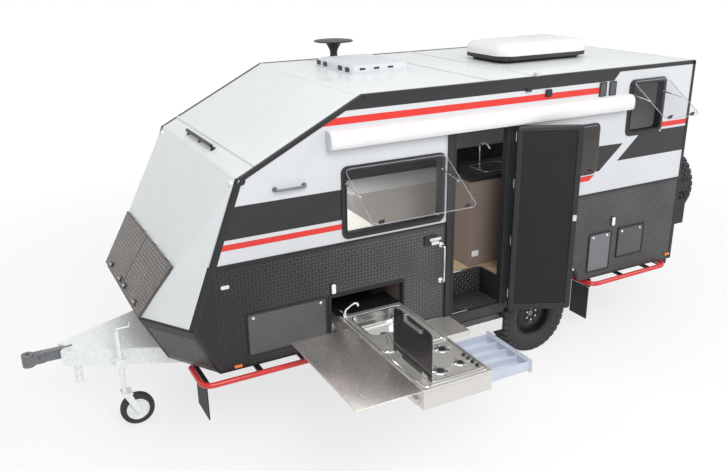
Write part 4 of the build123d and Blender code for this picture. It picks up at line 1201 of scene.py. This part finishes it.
def makeDoor(s):
    hinge = Matrix.Translation((*s["hinge"], 0))
    swing = hinge @ Matrix.Rotation(radians(s["open"]), 4, "Z") @ hinge.inverted()
    x, z, steps = s["x"], s["z"], s["steps"]
    leaf, edge, pane, low, screen, cloth, catch = (bmesh.new() for _ in range(7))
    addStack(leaf, [(insetOutline(x, z, inset, radius, steps), y) for inset, radius, y in s["leaf"]])
    inset, radius, near, far = s["edge"]
    addRing(edge, roundOutline(x, z, s["corner"], steps), insetOutline(x, z, inset, radius, steps), near, far)
    pocket = roundOutline(*s["pane"], 40, steps)
    addRing(edge, insetOutline(*s["pane"], -20, 50, steps), pocket, -1216, -1226)
    addPrism(pane, pocket, -1219, -1224)
    addPrism(low, roundOutline((x[0] + 36, x[1] - 36), (z[0] + 40, s["kickTop"]), 14, steps), -1221, -1224)
    whole, fold = roundOutline(x, z, 30, steps), insetOutline(x, z, 8, 24, steps)
    lip = insetOutline(s["clothX"], s["clothZ"], -6, 14, steps)
    hole = roundOutline(s["clothX"], s["clothZ"], 10, steps)
    rows = ((whole, -1188), (whole, -1170), (fold, -1166), (lip, -1167), (hole, -1174), (hole, -1188))
    addStack(screen, rows, "y", True)
    addBox(cloth, s["clothX"], (-1172, -1170), s["clothZ"])
    addPrism(catch, roundOutline((x[0] + 8, x[0] + 44), s["catchZ"], 8, 4), -1166, -1156)
    addTube(catch, [(x[0] + 16, -1152, 1586), (x[0] + 50, -1148, 1586)], 8, 12)
    for name, bm, finish, slot, stands, bevel in (
            ("door_leaf", leaf, silver, "silver_panel", ["entry_door"], 1),
            ("door_edge", edge, blackPlastic, "black_plastic", [], 1),
            ("door_pane", pane, tinted, "tinted_glass", [], 1),
            ("door_kick_plate", low, checker, "dark_checker", [], 1),
            ("screen_frame", screen, blackPlastic, "black_plastic", ["screen_door"], 1),
            ("screen_cloth", cloth, screenCloth, "black_plastic", [], 0),
            ("screen_catch", catch, chrome, "chrome", [], 1)):
        move(bm, bm.verts, swing)
        makePiece(name, bm, finish, "entry_door", stands, bevel=bevel)


makeDoor(doorSet)
softCopy("door_surround", blackPlastic, 3)


# Step well and the bench inside. Boxes are x, y and z.
floorTop = (toRow.inverted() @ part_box("cabin_floor")[1]).z
wellSet = {
    "lining": [((-1098, -522), (-1136, -826), (702, 706)), ((-1098, -522), (-830, -824), (704, floorTop - 4)),
               ((-1104, -1096), (-1136, -824), (704, floorTop - 4)),
               ((-524, -516), (-1136, -824), (704, floorTop - 4)),
               ((-1112, -1096), (-1160, -1100), (704, 2436)), ((-528, -462), (-1150, -1092), (704, 2436))],
    "nosings": [((-1104, -512), (-830, -812), (floorTop - 8, floorTop + 3)),
                ((-528, -512), (-1100, -812), (floorTop - 8, floorTop + 3)),
                ((-1080, -560), (-1260, -1010), (590, 594)), ((-1080, -560), (-1262, -1258), (470, 594))],
    "bench": ((-672, 322), (-812, -268), (1850, 1887)), "sink": ((-420, -40), (-700, -400)), "tapX": -230,
    "socket": ((-610, -530), (-794, -790), (1070, 1130)),
}


def makeWell(s):
    for name, boxes, finish, slot, bevel in (("step_lining", s["lining"], rubber, "dark_checker", 1),
                                             ("step_nosings", s["nosings"], polished, "stainless", 1.5),
                                             ("bench_top", [s["bench"]], blackPlastic, "black_plastic", 4)):
        bm = bmesh.new()
        for box in boxes:
            addBox(bm, *box)
        makePiece(name, bm, finish, bevel=bevel)
    bm, tap = bmesh.new(), s["tapX"]
    addRing(bm, roundOutline(*s["sink"], 50, 6), insetOutline(*s["sink"], 15, 40, 6), 1886, 1891, "z")
    addTube(bm, [(tap, -350, 1886), (tap, -350, 2080), (tap, -450, 2110), (tap, -520, 2060)], 9, 12, 40)
    makePiece("bench_sink", bm, polished, bevel=1)
    bm = bmesh.new()
    addBox(bm, *s["socket"])
    makePiece("bench_socket", bm, whitePlastic, bevel=1.5)


def onFarSide(spot):
    return spot.y > 300 and spot.x > -1300


makeWell(wellSet)
softCopy("furniture", oak, 3, keep=lambda spot: not onFarSide(spot))
softCopy("furniture", paleBoard, 3, label="_far", keep=onFarSide)
print("door and cabin made")


# Awning cassette. Its profile is depth out of the wall and height.
awningSet = {
    "x": (-2330, 930), "z": (2450, 2600), "end": 18,
    "front": ((0, 6), (70, 0), (92, 8), (103, 30), (105, 74), (101, 110)),
    "back": ((84, -14), (56, -2), (0, 0)),
}


def makeAwning(s):
    x, (low, high) = s["x"], s["z"]
    profile = [(side - out, low + up) for out, up in s["front"]]
    profile += [(side - out, high + up) for out, up in s["back"]]
    bm = bmesh.new()
    addPrism(bm, profile, x[0] + 14, x[1] - 14, "x")
    makePiece("awning_case", bm, whitePlastic, stands=["awning_cassette"], sharp=40,
              bevel=1)
    bm = bmesh.new()
    for a, b in ((x[0], x[0] + s["end"]), (x[1] - s["end"], x[1])):
        addPrism(bm, profile, a, b, "x")
    addBox(bm, (x[0] + 14, x[1] - 14), (side - 104, side - 99), (low + 27, low + 31))
    makePiece("awning_ends", bm, greyCap, bevel=3)


makeAwning(awningSet)


# Roof: cooler, hatch, antenna and joints. A shell's levels are inset and height over the roof.
roofSet = {
    "cooler": ((0, 1150), (-350, 350), 130),
    "shell": ((8, 52), (0, 84), (0, 122), (10, 150), (40, 180), (110, 196), (260, 200)),
    "base": ((3, 1147), (-347, 347), 126), "skirt": ((60, 0), (48, 20), (0, 34), (0, 80)),
    "slots": (820, 7, 34),
    "hatch": ((-1600, -950), (-190, 650), 60),
    "lid": ((0, 0), (0, 16), (16, 20), (16, 62), (22, 74), (60, 88), (200, 95)),
    "dish": [(0, 3060), (150, 3059), (204, 3052), (208, 3046), (204, 3040), (92, 3030), (80, 3022),
             (46, 2960), (38, 2930), (40, 2880), (66, 2860), (70, 2850), (0, 2850)],
    "dishAt": (-1220, 970, 0), "joints": (-700, -195), "cap": ((-222, -168), (-1132, -1086)),
    "screw": [(0, 4.5), (4, 4.2), (6.5, 2.6), (7, 0), (0, 0)], "screws": (27, 80),
}


def addShell(bm, x, y, levels, radius, steps=6):
    rows = [(insetOutline(x, y, inset, max(radius - inset * 0.4, 6), steps), z) for inset, z in levels]
    addStack(bm, rows, "z")


def makeRoof(s):
    top = bodySet["roof"]

    def shellOf(place, levels):
        bm = bmesh.new()
        x, y, radius = s[place]
        addShell(bm, x, y, [(inset, top + up) for inset, up in s[levels]], radius)
        return bm

    makePiece("cooler_shell", shellOf("cooler", "shell"), whitePlastic,
              stands=["air_conditioner"], sharp=50)
    makePiece("cooler_base", shellOf("base", "skirt"), blackPlastic)
    along, count, gap = s["slots"]
    slat = bmesh.new()
    addPrism(slat, roundOutline((-180, 180), (-5, 5), 4.9, 4), top + 180, top + 203, "z")
    move(slat, slat.verts, Matrix.Translation((along, 0, 0)))
    slats = grow(rowTree, slat, greyCap, Count=1, Step=(0, 0, 0), Rows=count, RowStep=(0, gap, 0))
    makePiece("cooler_slots", joined(slats), greyCap, tidy=False)
    makePiece("roof_hatch_lid", shellOf("hatch", "lid"), greyCap,
              stands=["roof_hatch"], sharp=50)
    x, y = s["hatch"][:2]
    front, flank = bmesh.new(), bmesh.new()     # vents round the hatch
    addPrism(front, roundOutline((-110, -24), (top + 22, top + 64), 6, 4), x[0] + 13, x[0] + 18, "x")
    addPrism(flank, roundOutline((x[0] + 90, x[0] + 150), (top + 44, top + 62), 8, 4), y[0] + 13, y[0] + 18)
    vents = [grow(rowTree, front, blackPlastic, Count=2, Step=(0, 150, 0), Rows=2, RowStep=(0, 480, 0)),
             grow(rowTree, flank, blackPlastic, Count=3, Step=(150, 0, 0))]
    makePiece("roof_hatch_vents", joined(*vents), blackPlastic, tidy=False)
    bm = bmesh.new()
    addLathe(bm, s["dish"], s["dishAt"], "z", 48, closed=False)
    makePiece("antenna_dish", bm, blackPlastic, stands=["tv_antenna"])
    bm = bmesh.new()
    for x in s["joints"]:
        addBox(bm, (x - 15, x + 15), (-1108, 1108), (top, top + 4))
    addBox(bm, *s["cap"], (top, top + 34))
    makePiece("roof_joints", bm, greyCap, bevel=1.5)
    screw, (first, last), (count, step) = bmesh.new(), s["joints"], s["screws"]
    addLathe(screw, s["screw"], (first - 8, -1060, top + 3), "z", 10, closed=False)
    screws = grow(rowTree, screw, polished, Count=count, Step=(0, step, 0), Rows=2,
                  RowStep=(last - first, 0, 0))
    makePiece("roof_screws", joined(screws), polished, tidy=False)


makeRoof(roofSet)
print("roof made")


# Lamps, vents, handles and what is on the nose. Places are x and z on the wall.
fittingSet = {
    "lamps": ((-2300, 1235), (900, 1290)), "lamp": (19, 44, 12), "lampBase": (25, 50, 14),
    "markers": ((-3180, 735), (-60, 640), (1770, 760)), "marker": (34, 13, 9), "handleUp": 92,
    "handle": (-262, 100, 460),
    "foot": [(0, 5), (26, 5), (28, 2), (28, 0), (0, 0)],
    "knob": [(0, 20), (14, 18), (22, 8), (24, 0), (0, 0)],
    "buttons": (-1050, 1050, -62), "vents": (548, 672), "vent": ((0, 84), (2600, 2735)), "slats": 13,
    "slatStep": 9,
    "rail": (-1210, (1080, 1430), -1200), "railFoot": [(0, -10), (22, -10), (26, -6), (26, 0), (0, 0)],
    "pull": ((-2780, -2530), 2185, -1185), "pullFoot": [(0, -8), (18, -8), (22, -4), (22, 0), (0, 0)],
    # x, z, corner radius and its steps, and the depths out of the wall
    "latch": [((-1352, -1232), (1492, 1520), 10, 5, 12, 34), ((-1330, -1250), (1452, 1486), 10, 5, 10, 30),
              ((-3278, -3208), (1440, 1472), 10, 5, 0, 16)],
    "boxes": [((-1392, -1262), (1448, 1540), 12, 5, 0, 14), ((-348, -286), (2728, 2752), 10, 4, 0, 24),
              ((-112, -48), (2660, 2728), 8, 4, 0, 22)],
    "bootLatches": (90, 480), "bootLatchAt": -1351,
}


def padAt(spot, size, steps=5):
    (x, z), (halfX, halfZ, radius) = spot, size
    return roundOutline((x - halfX, x + halfX), (z - halfZ, z + halfZ), radius, steps)


def makeLamps(s):
    marker, base = bmesh.new(), bmesh.new()
    for spot in s["lamps"]:
        addPrism(marker, padAt(spot, s["lamp"]), side - 8, side - 21)
        addPrism(base, padAt(spot, s["lampBase"]), side, side - 9)
    makePiece("side_lamps", marker, whiteLens, bevel=3)
    makePiece("side_lamp_bases", base, blackPlastic, stands=["lamps"], bevel=1)
    bm = bmesh.new()
    for way in (-1, 1):
        for spot in s["markers"]:
            addPrism(bm, padAt(spot, s["marker"]), way * (abs(side) + 1), way * (abs(side) + 13))
    makePiece("edge_markers", bm, amber, bevel=2)


def makeNoseFittings(s):
    bm = bmesh.new()
    knee = Vector((kneeAt[0], 0, kneeAt[1]))
    base = knee + (Vector((bodySet["roofFront"], 0, bodySet["roof"])) - knee).normalized() * s["handleUp"]
    for across in s["handle"]:
        spot = base + Vector((0, across, 0))
        addTube(bm, [spot, spot + slopeOut * 34], 12, 14)
        foot = addLathe(bm, s["foot"], (0, 0, 0), "z", 20, closed=False)
        move(bm, foot, Matrix.Translation(spot) @ slopeOut.to_track_quat("Z", "Y").to_matrix().to_4x4())
    ends = (s["handle"][0] - 6, s["handle"][2] + 6)
    addTube(bm, [base + slopeOut * 36 + Vector((0, across, 0)) for across in ends], 16, 18)
    makePiece("nose_handle", bm, blackPlastic, bevel=1)
    bm = bmesh.new()
    for across in s["buttons"][:2]:
        knob = addLathe(bm, s["knob"], (0, 0, 0), "z", 20, closed=False)
        move(bm, knob, noseTurn @ Matrix.Translation((across, s["buttons"][2], 0)))
    makePiece("nose_buttons", bm, chrome)


def makeVents(s):
    frames, slat = bmesh.new(), bmesh.new()
    (near, far), z = s["vent"]
    addBox(slat, (555, 625), (side - 12, side - 3), (z[0] + 10, z[0] + 15))
    for x in s["vents"]:
        hole = roundOutline((x + 7, x + far - 7), (z[0] + 8, z[1] - 8), 4, 4)
        addRing(frames, roundOutline((x + near, x + far), z, 8, 4), hole, side, side - 13)
        addBox(frames, (x + 6, x + far - 6), (side - 2, side - 0.5), (z[0] + 6, z[1] - 6))
    makePiece("vent_frames", frames, blackPlastic, stands=["wall_fittings"], bevel=1)
    apart = (s["vents"][1] - s["vents"][0], 0, 0)
    rows = grow(rowTree, slat, grey, Count=s["slats"], Step=(0, 0, s["slatStep"]), Rows=2, RowStep=apart)
    makePiece("vent_slats", joined(rows), grey, tidy=False)


def makeHandles(s):
    bm = bmesh.new()
    x, (low, high), out = s["rail"]
    addTube(bm, [(x, side, low), (x, out, low), (x, out, high), (x, side, high)], 10, 16, 26)
    for z in (low, high):
        addLathe(bm, s["railFoot"], (x, side, z), "y", 24, closed=False)
    makePiece("grab_rail", bm, chrome)
    bm = bmesh.new()
    (front, back), z, out = s["pull"]
    addTube(bm, [(front, side, z), (front, out, z), (back, out, z), (back, side, z)], 11, 16, 22)
    for x in (front, back):
        addLathe(bm, s["pullFoot"], (x, side, z), "y", 24, closed=False)
    makePiece("front_handle", bm, grey)
    for name, pads, finish, slot, bevel in (("door_latch", s["latch"], chrome, "chrome", 1),
                                            ("wall_boxes", s["boxes"], blackPlastic, "black_plastic", 2)):
        bm = bmesh.new()
        for x, z, radius, steps, near, far in pads:
            addPrism(bm, roundOutline(x, z, radius, steps), side - near, side - far)
        makePiece(name, bm, finish, bevel=bevel)


def makeBootLatches(s):
    down = s["bootLatchAt"]
    for label, way in (("near", -1), ("far", 1)):
        bm = bmesh.new()
        for across in (way * s["bootLatches"][0], way * s["bootLatches"][1]):
            addShell(bm, (across - 30, across + 30), (down - 21, down + 21), ((0, 25), (0, 33), (5, 37)),
                     10, 4)
            addTube(bm, [(across - 26, down, 40), (across + 26, down, 40)], 6, 12)
            addTube(bm, [(across, down, 34), (across, down, 40)], 8, 12)
        move(bm, bm.verts, noseTurn)
        makePiece(f"boot_latches_{label}", bm, chrome, f"boot_door_{label}", bevel=1)


makeLamps(fittingSet)
makeNoseFittings(fittingSet)
makeVents(fittingSet)
makeHandles(fittingSet)
makeBootLatches(fittingSet)
for label in ("near", "far"):
    softCopy(f"boot_door_{label}", bootPlate, 2)
    softCopy(f"chassis_rail_{label}", zinc, 3)
for node, finish, bevel in (
        ("hinges", chrome, 1), ("cross_members", blackSteel, 2), ("drawbar_cover", zinc, 2),
        ("coupling_head", grey, 3), ("safety_chains", zinc, 0), ("jockey_stand", zinc, 1.5),
        ("jockey_fork", zinc, 1), ("jockey_rim", zinc, 2), ("jockey_tyre", tyreRubber, 3),
        ("suspension", blackSteel, 2), ("spare_carrier", blackSteel, 3), ("side_rails", red, 0),
        ("skirt_brackets", blackSteel, 2), ("mud_flaps", rubber, 1.5)):
    softCopy(node, finish, bevel)


# Tail lamps and the springs over the axle arms
tailSet = {"across": 1030, "lens": (48, 156, 16), "rim": (56, 164, 20), "hole": (46, 154, 14), "z": 1060}
springSet = {"Turns": 6.0, "CoilRadius": 62.0, "Height": 200.0, "Wire": 8.0}


def makeTail(s):
    lens, rims, rear = bmesh.new(), bmesh.new(), bodySet["rear"]
    for spot in ((-s["across"], s["z"]), (s["across"], s["z"])):
        addPrism(lens, padAt(spot, s["lens"]), rear, rear + 28, "x")
        addRing(rims, padAt(spot, s["rim"]), padAt(spot, s["hole"]), rear, rear + 22, "x")
    makePiece("tail_lamps", lens, redLens, bevel=4)
    makePiece("tail_lamp_rims", rims, blackPlastic, bevel=2)


makeTail(tailSet)
springs = [grow(springTree, bmesh.new(), blackSteel, **springSet, Place=(-120, y, 484)) for y in (-690, 690)]
makePiece("coil_springs", joined(*springs), blackSteel, tidy=False)
print("fittings made")


# Bedding: mattress, pillows and a folded quilt
padSet = {"across": 22, "along": 30, "ripple": 2.5}
beddingSet = {
    "mattress": ((-2995, -1606), (-1060, 1060), (1241, 1398)),
    "pillow": ((-2960, -2560), (380, 980), (1398, 1518)),
    "quilt": ((-2130, -1625), (-940, 940), (1398, 1596)),
}


def makePad(name, x, y, z, crown, fill):
    bm = bmesh.new()
    across, along = padSet["across"], padSet["along"]
    centre = [(low + high) / 2 for low, high in (x, y, z)]
    half = [(high - low) / 2 for low, high in (x, y, z)]
    for face in (1, -1):
        verts = []
        for i in range(across + 1):
            row = []
            for j in range(along + 1):
                u, v = i / across * 2 - 1, j / along * 2 - 1
                edge = (1 - abs(u) ** 6) ** 0.35 * (1 - abs(v) ** 6) ** 0.35
                lift = half[2] * (edge * (1 - crown) + crown * edge * (1 - 0.5 * (u * u + v * v)))
                ripple = padSet["ripple"] * sin(u * 9 + v * 5) * sin(v * 11 - u * 3) * edge if face > 0 else 0
                up = centre[2] + face * lift + ripple
                row.append(bm.verts.new((centre[0] + u * half[0], centre[1] + v * half[1], up)))
            verts.append(row)
        for i in range(across):
            for j in range(along):
                quad = (verts[i][j], verts[i + 1][j], verts[i + 1][j + 1], verts[i][j + 1])
                bm.faces.new(quad if face > 0 else quad[::-1])
    piece = makePiece(name, bm, linen, stands=["bedding"], sharp=80)


makePad("mattress", *beddingSet["mattress"], 0.12, 0.7)
for label, way in (("near", -1), ("far", 1)):
    x, y, z = beddingSet["pillow"]
    makePad(f"pillow_{label}", x, sorted((way * y[0], way * y[1])), z, 0.55, 0.5)
makePad("folded_quilt", *beddingSet["quilt"], 0.4, 0.5)
print("bedding made")


# Floor, white to the eye where no shadow falls
stageSet = {"half": 40000, "near": 4.5, "far": 8.5, "share": 0.72}


def whiten(material, s):
    tree = material.node_tree
    space = addNode(tree, "ShaderNodeTexCoord").outputs["Object"]
    length = addNode(tree, "ShaderNodeVectorMath", {0: space}, operation="LENGTH").outputs["Value"]
    ends = {"From Min": s["near"], "From Max": s["far"], "To Min": s["share"], "To Max": 1.0}
    share = addNode(tree, "ShaderNodeMapRange", {"Value": length, **ends}).outputs[0]
    path = addNode(tree, "ShaderNodeLightPath").outputs
    seen = mathNode(tree, "MAXIMUM", path["Is Camera Ray"], path["Is Glossy Ray"])
    shader, glow = tree.nodes["Principled BSDF"].outputs[0], addNode(tree, "ShaderNodeEmission").outputs[0]
    amount = mathNode(tree, "MULTIPLY", seen, share)
    mix = addNode(tree, "ShaderNodeMixShader", {0: amount, 1: shader, 2: glow}).outputs[0]
    tree.links.new(mix, tree.nodes["Material Output"].inputs["Surface"])


def makeStage(s):
    bm = bmesh.new()
    addBox(bm, (-s["half"], s["half"]), (-s["half"], s["half"]), (-20, 0))
    mesh = pour(bm, "studioFloor")
    mesh.transform(toRow)
    mesh.materials.append(floorPaint)
    piece = bpy.data.objects.new("studioFloor", mesh)
    bpy.context.scene.collection.objects.link(piece)


whiten(floorPaint, stageSet)
makeStage(stageSet)
